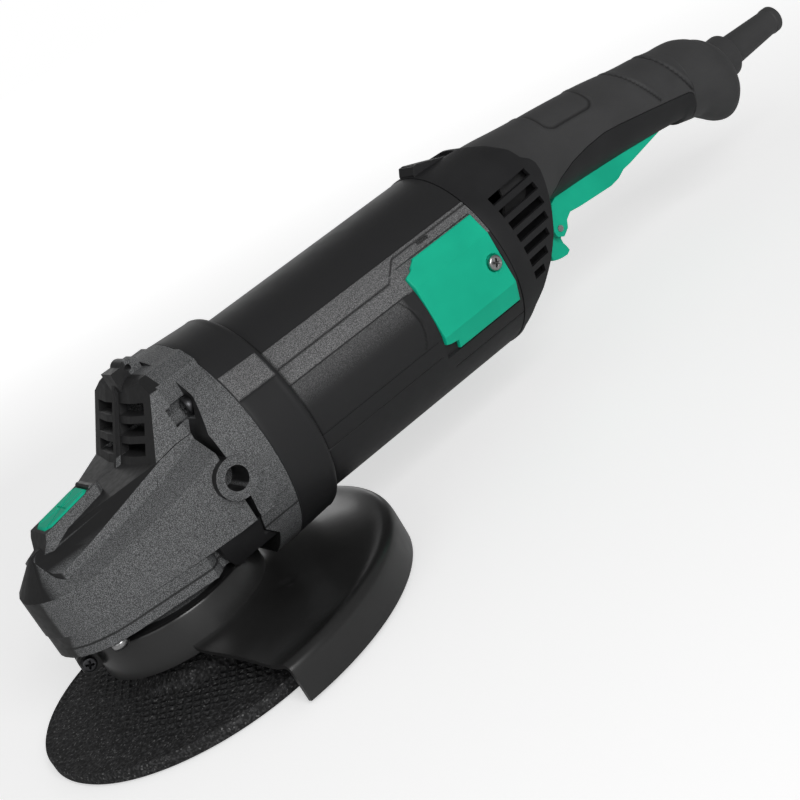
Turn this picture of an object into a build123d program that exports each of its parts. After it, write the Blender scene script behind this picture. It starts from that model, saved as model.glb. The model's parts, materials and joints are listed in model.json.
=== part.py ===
"""Large rear-handle angle grinder, built piece by piece.

Millimetres, +Z up. The spindle turns about Z through the origin, which lies on the lock nut's
lower face. The motor's axis runs along +X at AXIS_Z, from the gear housing to the rear handle.
"""
from build123d import *
from math import atan2, cos, degrees, hypot, pi, radians, sin, tan
import os

# ---------------------------------------------------------------- driving dimensions
AXIS_Z = 81.0            # motor axis above the lock nut's lower face
RUN = 0.05               # radial running clearance of shafts and turning fits

FLANGE_X = (46.5, 60.0)  # gear housing's rear flange
FLANGE_FRONT = 39.5      # its front rim, ahead of the screw seats
FLANGE_R = 57.4
FLAT_Z = 29.0            # flange and collar are flat below this, to clear the guard
COLLAR_X = (60.0, 86.0)  # smooth front collar, which houses the fan
HOUSING_X = (86.0, 219.8)
HOUSING_R = 51.0
HOUSING_BORE = 48.0
COVER_X = (220.2, 270.5)  # vented rear cover, which turns with the handle

WHEEL_R = 90.0           # 180 mm depressed-centre wheel
WHEEL_T = 6.4
WHEEL_BORE = 11.1
WHEEL_HUB_Z = (7.0, 13.0)
NUT_R = 22.5
SPANNER_PCD = 35.0
SPANNER_HOLE_R = 2.5

GUARD_R = 110.0
GUARD_T = 2.5
GUARD_PLATE_Z = 25.0
GUARD_SKIRT_Z = 1.0
HUB_R = (42.0, 45.0)     # the guard's clamp collar, inside and outside
HUB_Z = (22.5, 42.5)
CLAMP_TURN = Rot(0, 0, -12)  # turns the clamp's lugs from straight ahead to beside the nose
CLAMP_BOLT = (-50, 35)   # x and z before the turn

COVER_PLATE_Z = (47.0, 52.0)  # gear cover's plate
COVER_SCREWS = [(-40.0, 29.0), (-40.0, -29.0), (24.0, 33.0), (24.0, -33.0)]
CAVITY_R = 38.5          # the gears' space
CAVITY_TOP = 80.0
AIR_HALF = 28.0          # half width of the air space in the outlet
SCREW_ACCESS_R = 5.2     # room for a driver in front of each flange screw

CROWN_TEETH = 41
PINION_TEETH = 10
MODULE = 1.75
FACE_WIDTH = 9.0
ADDENDUM = 1.5
DEDENDUM = 2.1
FLANK = tan(radians(20))
CROWN_TOOTH = 2.1        # tooth thickness on the pitch circle, thinned for backlash
PINION_TOOTH = 2.0

BOSS = (38.0, 82.0)      # side-handle boss centre, x and z
BOSS_R = 10.3
BOSS_Y = 58.2
SIDE_HANDLE_R = 6.0      # M14 tapping size
SIDE_HANDLE_DEPTH = 18.0

BUTTON_X = (-34.2, -8.0)
BUTTON_HALF_W = 8.8
BUTTON_TRAVEL = 4.0
PIN_X = -21.0
PIN_R = 3.0

CORE_X = (104.0, 160.0)  # the armature's and stator's laminations
BRUSH_X = 186.0
BRUSH_SCREW = (211.5, 84.1)  # x and z
BRUSH_COVER_X = (167.0, 217.5)
BRUSH_COVER_TILT = 3.5   # degrees above the horizontal
BRUSH_COVER_SPAN = 30.5  # half angle

LEVER_PIVOT = (384.0, 75.5)
LEVER_PIN_HALF = 14.0
LOCK_PIVOT = (282.0, 62.4)
CORD_Z = 78.7
CORD_BORE_R = 4.5

# handle sections along X: centre height, half height, half width
HANDLE_SECTIONS = [
    (246, 106.0, 22.0, 31.0),
    (272, 101.5, 24.2, 27.0),
    (290, 99.3, 24.0, 23.5),
    (312, 97.2, 23.8, 21.8),
    (342, 93.8, 23.2, 21.0),
    (372, 89.4, 22.3, 20.6),
    (385, 87.6, 22.4, 20.5),
    (396, 85.2, 22.6, 20.8),
    (405, 83.6, 23.2, 21.4),
    (412, 80.2, 25.2, 22.2),
    (418, 76.6, 26.2, 22.6),
    (423.5, 74.4, 25.0, 22.2),
    (427.5, 74.4, 22.2, 20.6),
    (430.5, 75.6, 17.6, 17.0),
    (432, 77.4, 14.0, 13.8),
]

parts = {}


# ---------------------------------------------------------------- building helpers
def face_of(points, plane):
    return plane * make_face(Polyline(*points, close=True))


def prism_z(points, z0, z1):
    """Extrude an outline of (x, y) points from z0 to z1."""
    return Pos(0, 0, z0) * extrude(make_face(Polyline(*points, close=True)), amount=z1 - z0)


def prism_y(points, y0, y1):
    """Extrude an outline of (x, z) points from y0 to y1."""
    plane = Plane((0, y1, 0), x_dir=(1, 0, 0), z_dir=(0, -1, 0))
    return extrude(face_of(points, plane), amount=y1 - y0)


def turned_z(points):
    """Revolve (r, z) points about the spindle's axis."""
    return revolve(face_of(points, Plane.XZ), axis=Axis.Z)


def turned_x(points, z=AXIS_Z):
    """Revolve (x, r) points about the motor's axis, or a parallel axis at height z."""
    plane = Plane((0, 0, z), x_dir=(1, 0, 0), z_dir=(0, -1, 0))
    return revolve(face_of(points, plane), axis=Axis((0, 0, z), (1, 0, 0)))


def rod_x(x0, x1, r, y=0.0, z=AXIS_Z):
    return Pos((x0 + x1) / 2, y, z) * Rot(0, 90, 0) * Cylinder(r, x1 - x0)


def rod_y(y0, y1, r, x, z):
    return Pos(x, (y0 + y1) / 2, z) * Rot(90, 0, 0) * Cylinder(r, y1 - y0)


def rod_z(z0, z1, r, x=0.0, y=0.0):
    return Pos(x, y, (z0 + z1) / 2) * Cylinder(r, z1 - z0)


def block(x, y, z):
    """A box from three (low, high) pairs."""
    size = [b - a for a, b in (x, y, z)]
    middle = [(a + b) / 2 for a, b in (x, y, z)]
    return Pos(*middle) * Box(*size)


def span(side, near, far):
    """The (low, high) pair between two distances from the middle, on one side of it."""
    return tuple(sorted((side * near, side * far)))


def below(solid, origin, normal):
    """Keep what lies behind a plane, on the side its normal points away from."""
    return split(solid, bisect_by=Plane(origin=origin, z_dir=normal), keep=Keep.BOTTOM)


def both_sides(solid):
    """A solid and its mirror image across the plane y = 0."""
    return [solid, mirror(solid, about=Plane.XZ)]


def sector_x(x0, x1, r0, r1, middle, half):
    """A ring sector about the motor's axis, middle and half angles in degrees above -Y."""
    steps = 12
    angles = [radians(middle - half + 2 * half * i / steps) for i in range(steps + 1)]
    reach = r1 / cos(radians(half / steps)) + 1
    fan = [(0.0, 0.0)] + [(reach * cos(a), reach * sin(a)) for a in angles]
    plane = Plane((x0, 0, AXIS_Z), x_dir=(0, -1, 0), z_dir=(-1, 0, 0))
    wedge = extrude(face_of(fan, plane), amount=-(x1 - x0))
    return (rod_x(x0, x1, r1) - rod_x(x0 - 1, x1 + 1, r0)) & wedge


def group(*solids):
    """Separate solids kept side by side in one node."""
    loose = []
    for item in solids:
        loose.extend(item.solids())
    return Compound(children=loose)


def bearing(r_in, r_out, width, balls, place):
    """A ball bearing about Z at the origin, then placed: two races and a ring of balls."""
    wall = (r_out - r_in) * 0.3
    middle = (r_in + r_out) / 2
    ball_r = (r_out - r_in) / 2 - wall - 0.05
    outer = Cylinder(r_out, width) - Cylinder(r_out - wall, width + 2)
    inner = Cylinder(r_in + wall, width) - Cylinder(r_in, width + 2)
    ring = [Rot(0, 0, 360 * i / balls) * Pos(middle, 0, 0) * Sphere(ball_r) for i in range(balls)]
    return place * group(outer, inner, *ring)


# ---------------------------------------------------------------- bevel gears
PITCH_CROWN = MODULE * CROWN_TEETH / 2
PITCH_PINION = MODULE * PINION_TEETH / 2
CONE = hypot(PITCH_CROWN, PITCH_PINION)
INNER_SCALE = (CONE - FACE_WIDTH) / CONE
APEX = Vector(0, 0, AXIS_Z)


def tooth(along, up, side, thickness):
    """One straight bevel tooth: a trapezium that shrinks towards the shared apex."""
    root = thickness / 2 + (DEDENDUM + 0.3) * FLANK
    tip = thickness / 2 - ADDENDUM * FLANK
    corners = [(-DEDENDUM - 0.3, -root), (ADDENDUM, -tip), (ADDENDUM, tip), (-DEDENDUM - 0.3, root)]
    ends = []
    for scale in (1.0, INNER_SCALE):
        points = [APEX + (along * CONE + up * h + side * w) * scale for h, w in corners]
        ends.append(make_face(Polyline(*points, close=True)))
    return loft(ends, ruled=True)


def crown_gear():
    lean = atan2(PITCH_CROWN, PITCH_PINION)
    outer = (PITCH_CROWN - DEDENDUM * cos(lean), AXIS_Z - PITCH_PINION - DEDENDUM * sin(lean))
    inner = (outer[0] * INNER_SCALE, AXIS_Z + (outer[1] - AXIS_Z) * INNER_SCALE)
    web = 71.5
    body = turned_z([(8.5, 58), (16, 58), (18, 62), (33.5, 63), (outer[0] + 0.7, 66), outer, inner,
                     (inner[0] - 1.2, web), (13, web), (13, 72.8), (8.5, 72.8)])
    for i in range(4):
        body -= Rot(0, 0, 180 + 90 * i) * rod_z(62, 74, PIN_R + 0.6, x=-PIN_X)
    teeth = []
    for i in range(CROWN_TEETH):
        turn = 2 * pi * i / CROWN_TEETH
        along = Vector(cos(turn) * sin(lean), sin(turn) * sin(lean), -cos(lean))
        up = Vector(cos(turn) * cos(lean), sin(turn) * cos(lean), sin(lean))
        teeth.append(tooth(along, up, Vector(-sin(turn), cos(turn), 0), CROWN_TOOTH))
    return body + teeth


def pinion():
    lean = atan2(PITCH_PINION, PITCH_CROWN)
    outer = (PITCH_CROWN + DEDENDUM * sin(lean), PITCH_PINION - DEDENDUM * cos(lean))
    inner = (outer[0] * INNER_SCALE, outer[1] * INNER_SCALE)
    body = turned_x([(inner[0], 4), inner, outer, (38.6, outer[1]), (38.6, 4)])
    teeth = []
    for i in range(PINION_TEETH):
        turn = 2 * pi * (i + 0.5) / PINION_TEETH
        radial = Vector(0, -sin(turn), -cos(turn))
        along = Vector(cos(lean), 0, 0) + radial * sin(lean)
        up = Vector(-sin(lean), 0, 0) + radial * cos(lean)
        teeth.append(tooth(along, up, Vector(0, -cos(turn), sin(turn)), PINION_TOOTH))
    return body + teeth


# ---------------------------------------------------------------- spindle group
def spindle():
    return turned_z([(0, 3), (7, 3), (7, 13), (8, 13), (8, 20), (11.5, 20), (11.5, 34), (10.5, 34),
                     (10.5, 38), (8.5, 38), (8.5, 73), (4.5, 74.5), (4.5, 91.4), (0, 91.4)])


def inner_flange():
    return turned_z([(7.05, 10), (10.95, 10), (10.95, 13), (21, 13), (21, 18), (18, 20), (8, 20),
                     (8, 13), (7.05, 13)])


def grinding_wheel():
    low, high = WHEEL_HUB_Z
    return turned_z([(WHEEL_BORE, low), (28, low), (35, 0), (WHEEL_R, 0), (WHEEL_R, WHEEL_T),
                     (38, WHEEL_T), (31, high), (WHEEL_BORE, high)])


def lock_nut():
    nut = turned_z([(7, 0), (NUT_R - 1, 0), (NUT_R, 1), (NUT_R, 5.5), (20, 7), (10.9, 7), (10.9, 9.7),
                    (7, 9.7)])
    for i in range(4):
        nut -= Rot(0, 0, 45 + 90 * i) * rod_z(-1, 5, SPANNER_HOLE_R, x=SPANNER_PCD / 2)
    return nut


# ---------------------------------------------------------------- gear housing
NOSE_X = -21.2           # the nose is round about this point
NOSE_R = 38.2
STEP_Z = 59.0            # the case is stepped in below this height


def nose_arc(radius):
    """The round nose's half outline on +Y, from nearly straight ahead to where the flank starts."""
    turns = [radians(4 + 11.4 * i) for i in range(7)]
    return [(NOSE_X - radius * cos(a), radius * sin(a)) for a in turns]


PLAN = nose_arc(NOSE_R) + [(10, 50), (28, 53.5), (47, 54.5)]
COVER_PLAN = nose_arc(NOSE_R - 0.6) + [(9, 48), (12.5, 45.5), (15, 41.5), (27, 41.5)]


def outline(half):
    """Close a half outline given on +Y with its mirror image."""
    return half + [(x, -y) for x, y in reversed(half)]


# facets round the top of the nose: turn from straight ahead, height of the lower edge, slope
NOSE_FACETS = [(6, 78, 1.13), (20, 78.2, 1.04), (33, 78.3, 0.92), (45, 78.5, 0.78)]


def gear_case():
    """The cast block around the gears: round nose, sloped roof and side chamfers."""
    case = prism_z(outline(PLAN), STEP_Z, 106)
    lower = COVER_PLAN[:-1] + [(47, COVER_PLAN[-1][1])]
    case += prism_z(outline(lower), COVER_PLATE_Z[1], STEP_Z + 0.1)
    case = below(case, *ROOF)
    for side in (1, -1):
        case = below(case, (-24, side * 30, 86.5), (-0.36, side * 0.52, 1))
    for turn, height, slope in NOSE_FACETS:
        for side in (1, -1):
            ahead, aside = cos(radians(turn)), side * sin(radians(turn))
            edge = (NOSE_X - NOSE_R * ahead, NOSE_R * aside, height)
            case = below(case, edge, (-slope * ahead, slope * aside, 1))
    return case


ROOF = ((-43, 0, 94.5), (-0.16, 0, 1))
DECK_PLAN = [(-46, 7), (-45, 19), (-42.5, 24.5), (-20, 30.5), (12, 38), (46, 41)]


def roof_deck():
    """The raised, crowned middle of the roof: its side walls run on into the tower's sides."""
    deck = prism_z(outline(DECK_PLAN), 76, 106)
    deck = below(deck, *ROOF)
    deck = below(deck, (-47, 0, 91), (-0.62, 0, 0.78))
    for side in (1, -1):
        deck = below(deck, (-20, side * 30.5, 92.6), (-0.375, side * 0.356, 1))
        deck = below(deck, (-20, side * 30.5, 90), (-0.24, side, 0.1))
    return deck


def vent_tower():
    """The raised air outlet behind the button, with a slanted front shaped like a low bow."""
    tower = prism_y([(9, 92), (13, 103), (32.5, 134), (36, 136), (60, 136), (60, 92)], -43, 43)
    for side in (1, -1):
        tower = below(tower, (12.5, 0, 105), (-1, side * 0.13, 0.62))
        tower = below(tower, (12, side * 37.6, 100), (-0.09, side, 0.17))
        tower = below(tower, (47, side * 23, 136), (0, side * 0.5, 1))
    return tower


def top_lug():
    lug = block((31, 46), (-6, 6), (130, 141.5)) + rod_y(-6, 6, 4, 40, 139.5)
    rib = prism_y([(9.4, 101), (11, 104.2), (31, 135.3), (36, 138), (42, 138), (40, 132), (14, 101)],
                  -1.5, 1.5)
    return lug + rib - rod_y(-7, 7, 1.6, 40, 139.5)


def button_seat():
    """The raised seat round the lock button, with leaning walls and a lip behind the button."""
    seat = prism_z(outline([(-41, 7), (-37, 11.5), (-6, 11.5), (-2, 8)]), 88, 108)
    seat = below(seat, (-34, 0, 101.3), (-0.15, 0, 1))
    seat = below(seat, (-36, 0, 101), (-1, 0, 0.6))
    for side in (1, -1):
        seat = below(seat, (-20, side * 10, 103), (0, side, 0.16))
    return seat + prism_y([(-7.6, 99), (-7.6, 105.9), (-6.6, 106.6), (-4.8, 106.3), (-2.6, 99)], -8.6, 8.6)


def button_outline(grow):
    """The button's long hexagon with chamfered ends, grown on every side."""
    x0, x1 = BUTTON_X[0] - grow, BUTTON_X[1] + grow
    w = BUTTON_HALF_W + grow
    return outline([(x0, w - 3.5), (x0 + 3, w), (x1 - 3, w), (x1, w - 2.5)])


def at_flange_screws(make):
    """Put the four flange screws, or cuts for them, on their circle about the motor's axis."""
    reach = 49 * sin(pi / 4)
    return [make(side * reach, AXIS_Z + up * reach) for side in (1, -1) for up in (1, -1)]


def flange():
    """The rear flange: its front rim leans back at the top and at the bottom."""
    rim = rod_x(FLANGE_FRONT, FLANGE_X[0] + 0.5, FLANGE_R)
    rim = below(rim, (45, 0, 116.6), (-1, 0, 0.45))
    rim = below(rim, (FLANGE_FRONT, 0, 51), (-1, 0, -0.9))
    return rim + rod_x(FLANGE_X[0], FLANGE_X[1], FLANGE_R)


def gear_housing():
    body = gear_case() + roof_deck() + vent_tower() + top_lug()
    for side in (1, -1):
        body -= block((37, 61), span(side, 33, 60), (91, 140))
        body -= block((37, FLANGE_FRONT), span(side, 44, 60), (50, 92))
    body += button_seat() + flange()
    for side in (1, -1):
        body += rod_y(*span(side, 38, BOSS_Y), BOSS_R, *BOSS)
        body -= block((37, FLANGE_X[0]), span(side, AIR_HALF + 2, 41), (110.5, 120))
    body = below(body, (50, 0, FLAT_Z), (0, 0, -1))
    # gear chamber, pinion tunnel, bearing seats and fan recess
    body -= rod_z(40, CAVITY_TOP, CAVITY_R) - block((31.5, 60), (-60, 60), (40, 100))
    body -= rod_z(40, CAVITY_TOP, CAVITY_R) & block((20, 38), (-20, 20), (40, 100))
    body -= rod_x(10, 39, 13.5)
    body -= rod_x(38.9, 60.5, 17.5)
    body -= rod_z(80, 91.9, 7.5)
    body -= turned_x([(50, 0), (50, 44), (54, 46.5), (61, 46.5), (61, 0)])
    # air outlet: hollow tower, ports through the flange's web, slots in the front
    body -= prism_y([(19, 105), (34, 129), (51, 129), (51, 105)], -AIR_HALF, AIR_HALF)
    for row in range(3):
        low = 106.9 + 7.8 * row
        for side in (1, -1):
            body -= block((0, 33), span(side, 2.4, AIR_HALF), (low, low + 4.9))
    for side in (1, -1):
        body -= block((38, 51), span(side, 24, 40), (55, 66))
    # threaded side-handle holes
    for side in (1, -1):
        body -= rod_y(*span(side, BOSS_Y - SIDE_HANDLE_DEPTH, BOSS_Y + 1), SIDE_HANDLE_R, *BOSS)
    # screws
    for cut in at_flange_screws(lambda y, z: rod_x(34, FLANGE_X[0], SCREW_ACCESS_R, y, z)):
        body -= cut
    for cut in at_flange_screws(lambda y, z: rod_x(34, 61, 2.55, y, z)):
        body -= cut
    for x, y in COVER_SCREWS:
        body -= rod_z(50, 62, 2.4, x, y)
    # lock button: pocket and pin bore
    body -= prism_z(button_outline(0.3), 92.5, 110)
    body -= rod_z(79, 93, PIN_R + RUN, x=PIN_X)
    return body.solids().sort_by(SortBy.VOLUME)[-1]


def gear_cover():
    plate = prism_z(outline(COVER_PLAN), *COVER_PLATE_Z)
    neck = turned_z([(12.5, 28), (HUB_R[0] - RUN, 28), (HUB_R[0] - RUN, HUB_Z[1]), (34, HUB_Z[1] + 0.5),
                     (34, 48), (12.5, 48)])
    cover = plate + neck
    cover -= rod_z(38, 53, 20)
    cover -= rod_z(50, 53, 26)
    cover -= rod_z(37, 39, 14)
    cover -= rod_z(30, 34, 16)
    for x, y in COVER_SCREWS:
        cover -= rod_z(46, 53, 2.45, x, y)
    return cover


def cap_screw(length, head_r, head_h, shank_r, socket):
    """A screw pointing down -Z with its head's underside at z = 0."""
    screw = Pos(0, 0, head_h / 2) * Cylinder(head_r, head_h)
    screw = chamfer(screw.edges().group_by(Axis.Z)[-1], head_h * 0.25)
    screw += Pos(0, 0, -length / 2) * Cylinder(shank_r, length)
    cross = Box(socket * 2, socket * 0.45, 2) + Box(socket * 0.45, socket * 2, 2)
    return screw - Pos(0, 0, head_h) * cross


def gear_cover_screws():
    made = [Pos(x, y, COVER_PLATE_Z[0]) * Rot(180, 0, 0) * cap_screw(13, 4.2, 3.6, 2.4, 2.2)
            for x, y in COVER_SCREWS]
    return group(*made)


def flange_screws():
    made = at_flange_screws(lambda y, z: Pos(FLANGE_X[0], y, z) * Rot(0, -90, 0)
                            * cap_screw(32, 4.6, 4, 2.5, 2.4))
    return group(*made)


def exhaust_deflectors():
    """Rounded black scoops under the head, one each side, clear of the guard's collar."""
    scoop = prism_y([(28, 51.8), (28, 46.7), (19, 46.7), (21.5, 42), (27, 37.5), (34, 35.4),
                     (46.2, 35.4), (46.2, 42.8), (39.2, 50.6), (39.2, 51.8)], 24, 45)
    scoop += prism_y([(15.6, 58.7), (17, 51), (19, 46.7), (21.5, 42), (36, 42), (39.2, 46), (39.2, 58.7)],
                     COVER_PLAN[-1][1] + 0.3, 51.5)
    scoop &= rod_x(15, 50, 56)
    scoop -= rod_z(20, 55, HUB_R[1] + 1.5)
    scoop -= block((26, 47), (20, 41), (39, 52))
    for cut in at_flange_screws(lambda y, z: rod_x(34, FLANGE_X[0], SCREW_ACCESS_R, y, z)):
        scoop -= cut
    biggest = scoop.solids().sort_by(SortBy.VOLUME)[-1]
    return group(*both_sides(biggest))


# ---------------------------------------------------------------- motor housing
def front_collar():
    a, b = COLLAR_X
    collar = turned_x([(a, 46.5), (a, FLANGE_R), (a + 2, FLANGE_R), (b - 2, 55.8), (b, 54),
                       (b, HOUSING_BORE - 0.1), (b + 6, HOUSING_BORE - 0.1), (b + 6, 44),
                       (b - 3, 44), (b - 3, 46.5)])
    collar = below(collar, (a, 0, FLAT_Z), (0, 0, -1))
    for cut in at_flange_screws(lambda y, z: rod_x(a - 1, a + 19, 2.5, y, z)):
        collar -= cut
    return collar.solids().sort_by(SortBy.VOLUME)[-1]


def motor_housing():
    a, b = HOUSING_X
    tube = turned_x([(a, HOUSING_BORE), (a, HOUSING_R), (b, HOUSING_R), (b, HOUSING_BORE),
                     (213.5, HOUSING_BORE), (213.5, 44), (212.4, 16), (212.4, 13), (204, 13),
                     (204, 16), (209.5, 18), (209.5, 44), (207.5, HOUSING_BORE)])
    for i in range(4):
        rib = block(CORE_X, (-4, 4), (AXIS_Z + 45.95, AXIS_Z + HOUSING_BORE + 0.5))
        tube += Pos(0, 0, AXIS_Z) * Rot(45 + 90 * i, 0, 0) * Pos(0, 0, -AXIS_Z) * rib
    for i in range(6):
        port = rod_x(208, 214, 6.5, 0, AXIS_Z + 31)
        tube -= Pos(0, 0, AXIS_Z) * Rot(30 + 60 * i, 0, 0) * Pos(0, 0, -AXIS_Z) * port
    low, high = BRUSH_COVER_X
    for side in both_sides(sector_x(low - 0.2, high + 0.2, 49.4, 53, BRUSH_COVER_TILT,
                                    BRUSH_COVER_SPAN + 0.3)):
        tube -= side
    for side in (1, -1):
        y0, y1 = span(side, 40, 52)
        tube -= block((BRUSH_X - 12, BRUSH_X + 12), (y0, y1), (AXIS_Z - 12, AXIS_Z + 14))
        tube -= rod_y(y0, y1, 1.5, *BRUSH_SCREW)
    return tube


def brush_cover():
    """The left cover, on -Y: a shallow curved lid with notched front corners and a step."""
    low, high = BRUSH_COVER_X
    lid = sector_x(low, high, 49.5, 53.2, BRUSH_COVER_TILT, BRUSH_COVER_SPAN)
    for end in (1, -1):
        middle = BRUSH_COVER_TILT + end * BRUSH_COVER_SPAN
        lid -= sector_x(low - 1, low + 6.5, 45, 56, middle, 6.2)
        lid -= sector_x(low + 6, low + 11, 45, 56, middle, 1.8)
    return lid - rod_y(-60, -45, 1.9, *BRUSH_SCREW) - rod_y(-60, -51.3, 4.2, *BRUSH_SCREW)


def brush_cover_screw():
    screw = Rot(90, 0, 0) * cap_screw(8, 3.9, 2.1, 1.5, 2.3)
    return Pos(BRUSH_SCREW[0], -51.3, BRUSH_SCREW[1]) * screw


def brush_holder():
    """The left holder: a square tube that points at the commutator, on two feet."""
    tube = block((BRUSH_X - 10, BRUSH_X + 10), (-44, -21), (AXIS_Z - 6, AXIS_Z + 6))
    tube -= block((BRUSH_X - 8.05, BRUSH_X + 8.05), (-50, -20), (AXIS_Z - 4.05, AXIS_Z + 4.05))
    feet = block((BRUSH_X - 10, BRUSH_X + 10), (-40, -36), (AXIS_Z - 11, AXIS_Z + 11))
    feet -= block((BRUSH_X - 9, BRUSH_X + 9), (-50, -20), (AXIS_Z - 5, AXIS_Z + 5))
    return tube + feet


def carbon_brush():
    brush = block((BRUSH_X - 8, BRUSH_X + 8), (-38, -18), (AXIS_Z - 4, AXIS_Z + 4))
    return brush - rod_x(BRUSH_X - 9, BRUSH_X + 9, 19.3)


def brush_spring():
    return rod_y(-43.8, -38, 3.2, BRUSH_X, AXIS_Z) - rod_y(-44, -37, 2.2, BRUSH_X, AXIS_Z)


def stator_core():
    core = rod_x(*CORE_X, 45.9) - rod_x(100, 170, 38)
    for middle in (90, -90):
        core += sector_x(*CORE_X, 28.1, 38.2, middle, 55)
    return core


def stator_coils():
    coils = []
    for up in (1, -1):
        coil = sector_x(94, 103.8, 29.5, 37, up * 90, 82) + sector_x(160.2, 170, 29.5, 37, up * 90, 82)
        for side in (20, 160):
            coil += sector_x(103.5, 160.5, 29.5, 37, up * side, 11.5)
        coils.append(coil)
    return group(*coils)


def fan_baffle():
    return turned_x([(92.2, 24), (92.2, HOUSING_BORE - 0.1), (93.8, HOUSING_BORE - 0.1), (93.8, 26)])


# ---------------------------------------------------------------- armature
def armature_shaft():
    return turned_x([(17, 0), (17, 3.9), (26.5, 4), (38.6, 4), (38.6, 7.5), (51, 7.5), (51, 8.5),
                     (199, 8.5), (203, 8.5), (203, 5), (213, 5), (213, 0)])


def armature_core():
    core = rod_x(*CORE_X, 27.3) - rod_x(100, 170, 8.5)
    for i in range(12):
        slot = block((100, 170), (-1.5, 1.5), (AXIS_Z + 19, AXIS_Z + 28))
        core -= Pos(0, 0, AXIS_Z) * Rot(30 * i, 0, 0) * Pos(0, 0, -AXIS_Z) * slot
    return core


def armature_windings():
    front = turned_x([(95, 10), (95, 20), (98, 25), (104, 25), (104, 10)])
    rear = turned_x([(160, 10), (160, 25), (166, 25), (174, 16), (174, 10)])
    return group(front, rear)


def commutator():
    drum = rod_x(176, 197, 19) - rod_x(170, 200, 8.5)
    for i in range(24):
        slit = block((174, 196), (-0.3, 0.3), (AXIS_Z + 17.5, AXIS_Z + 20))
        drum -= Pos(0, 0, AXIS_Z) * Rot(15 * i, 0, 0) * Pos(0, 0, -AXIS_Z) * slit
    return drum


def cooling_fan():
    disc = turned_x([(63, 8.5), (63, 13), (66, 13), (66, 44), (68.5, 44), (68.5, 13), (80, 13), (80, 8.5)])
    for i in range(11):
        blade = block((68, 79), (-1, 1), (AXIS_Z + 17, AXIS_Z + 43.5))
        disc += Pos(0, 0, AXIS_Z) * Rot(360 * i / 11, 0, 0) * Pos(0, 0, -AXIS_Z) * blade
    return disc


def pinion_nut():
    plane = Plane((20.5, 0, AXIS_Z), x_dir=(0, 1, 0), z_dir=(1, 0, 0))
    return extrude(plane * RegularPolygon(5.4, 6), amount=5) - rod_x(19, 27, 4)


# ---------------------------------------------------------------- lock button
def lock_button():
    body = prism_z(button_outline(0), 97, 110)
    body = below(body, (-34, 0, 102), (-0.15, 0, 1))
    rim = body.edges().filter_by(lambda e: e.center().Z > 101)
    body = chamfer(rim, 1.0)
    top = (PIN_X, 0, 103.95)
    for turn in (28, -28, 90):
        body -= Pos(*top) * Rot(0, -8.5, 0) * Rot(0, 0, turn) * Box(40 if turn != 90 else 12, 0.9, 1.2)
    return body.solids().sort_by(SortBy.VOLUME)[-1]


def lock_pin():
    pin = rod_z(74.5, 97, PIN_R, x=PIN_X)
    return chamfer(pin.edges().group_by(Axis.Z)[0], 0.8)


def lock_spring():
    return rod_z(92.7, 96.8, 5, x=PIN_X) - rod_z(92, 98, 4, x=PIN_X)


# ---------------------------------------------------------------- guard
def guard():
    """Half-round pressed guard: collar, sloped plate and skirt, with two clamp lugs in front."""
    t = GUARD_T
    r = GUARD_R
    top = GUARD_PLATE_Z
    rim = 20.5
    pressing = turned_z([(HUB_R[1] - 1, top - t), (72, top - t), (r - 5, rim - t), (r - t, rim - t - 3),
                         (r - t, GUARD_SKIRT_Z), (r, GUARD_SKIRT_Z), (r, rim - 2.5), (r - 3, rim),
                         (72, top), (HUB_R[1] - 1, top)])
    keep = prism_z([(-17, -40), (-5.5, -108), (-4, -120), (130, -120), (130, 120), (-4, 120),
                    (-5.5, 108), (-17, 40)], -5, 40)
    pressing &= keep
    pressing -= rod_z(0, 50, HUB_R[0])
    collar = rod_z(*HUB_Z, HUB_R[1]) - rod_z(0, 50, HUB_R[0])
    lugs = block((-54.5, -42), (-6.5, 6.5), (30, 40)) - rod_z(0, 50, HUB_R[0])
    body = pressing + collar + CLAMP_TURN * lugs
    body -= CLAMP_TURN * block((-60, -40), (-1.5, 1.5), (10, 50))
    return body - CLAMP_TURN * rod_y(-10, 10, 2.6, *CLAMP_BOLT)


def guard_clamp_screw():
    screw = cap_screw(15, 3.7, 3.2, 2.55, 2.0)
    return CLAMP_TURN * Pos(CLAMP_BOLT[0], -6.5, CLAMP_BOLT[1]) * Rot(90, 0, 0) * screw


def guard_clamp_nut():
    plane = Plane((CLAMP_BOLT[0], 6.5, CLAMP_BOLT[1]), x_dir=(1, 0, 0), z_dir=(0, 1, 0))
    nut = extrude(plane * RegularPolygon(4.0, 6), amount=1.9) - rod_y(5, 12, 2.55, *CLAMP_BOLT)
    return CLAMP_TURN * nut


# ---------------------------------------------------------------- rear cover and handle
COVER_REAR = [(200, 20), (222.6, 20), (222.6, 40), (229, 48.5), (236, 54), (245.5, 64.5), (253, 74.5),
              (261, 87.5), (266.5, 97.5), (269.5, 103.5), (270.5, 107.5), (269.5, 110.5), (266, 113.5),
              (265, 119), (259, 126), (251, 130.5), (246, 134), (200, 140)]
COVER_SECTIONS = [(235, 50.7, 49.2), (250, 49.9, 47.0), (262, 48.8, 45.0), (274, 47.0, 42.8)]
COVER_WALL = 2.6
VENT_ENDS = (262.0, 260.2, 258.2, 255.2, 251.0, 245.4, 239.8)


def cover_envelope(inset, x0):
    """The rear cover's outer body, or the space inside it when inset is its wall."""
    r = HOUSING_R - inset
    rings = []
    for x, half_h, half_w in [(x0, r, r - 0.01), (226, r, r - 0.2)] + [
            (x, h - inset, w - inset) for x, h, w in COVER_SECTIONS]:
        plane = Plane((x, 0, AXIS_Z), x_dir=(0, 1, 0), z_dir=(1, 0, 0))
        rings.append(plane * Ellipse(half_w, half_h))
    rear = [(x - inset if x > 200 else x, z) for x, z in COVER_REAR]
    return loft(rings) & prism_y(rear, -60, 60)


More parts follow.
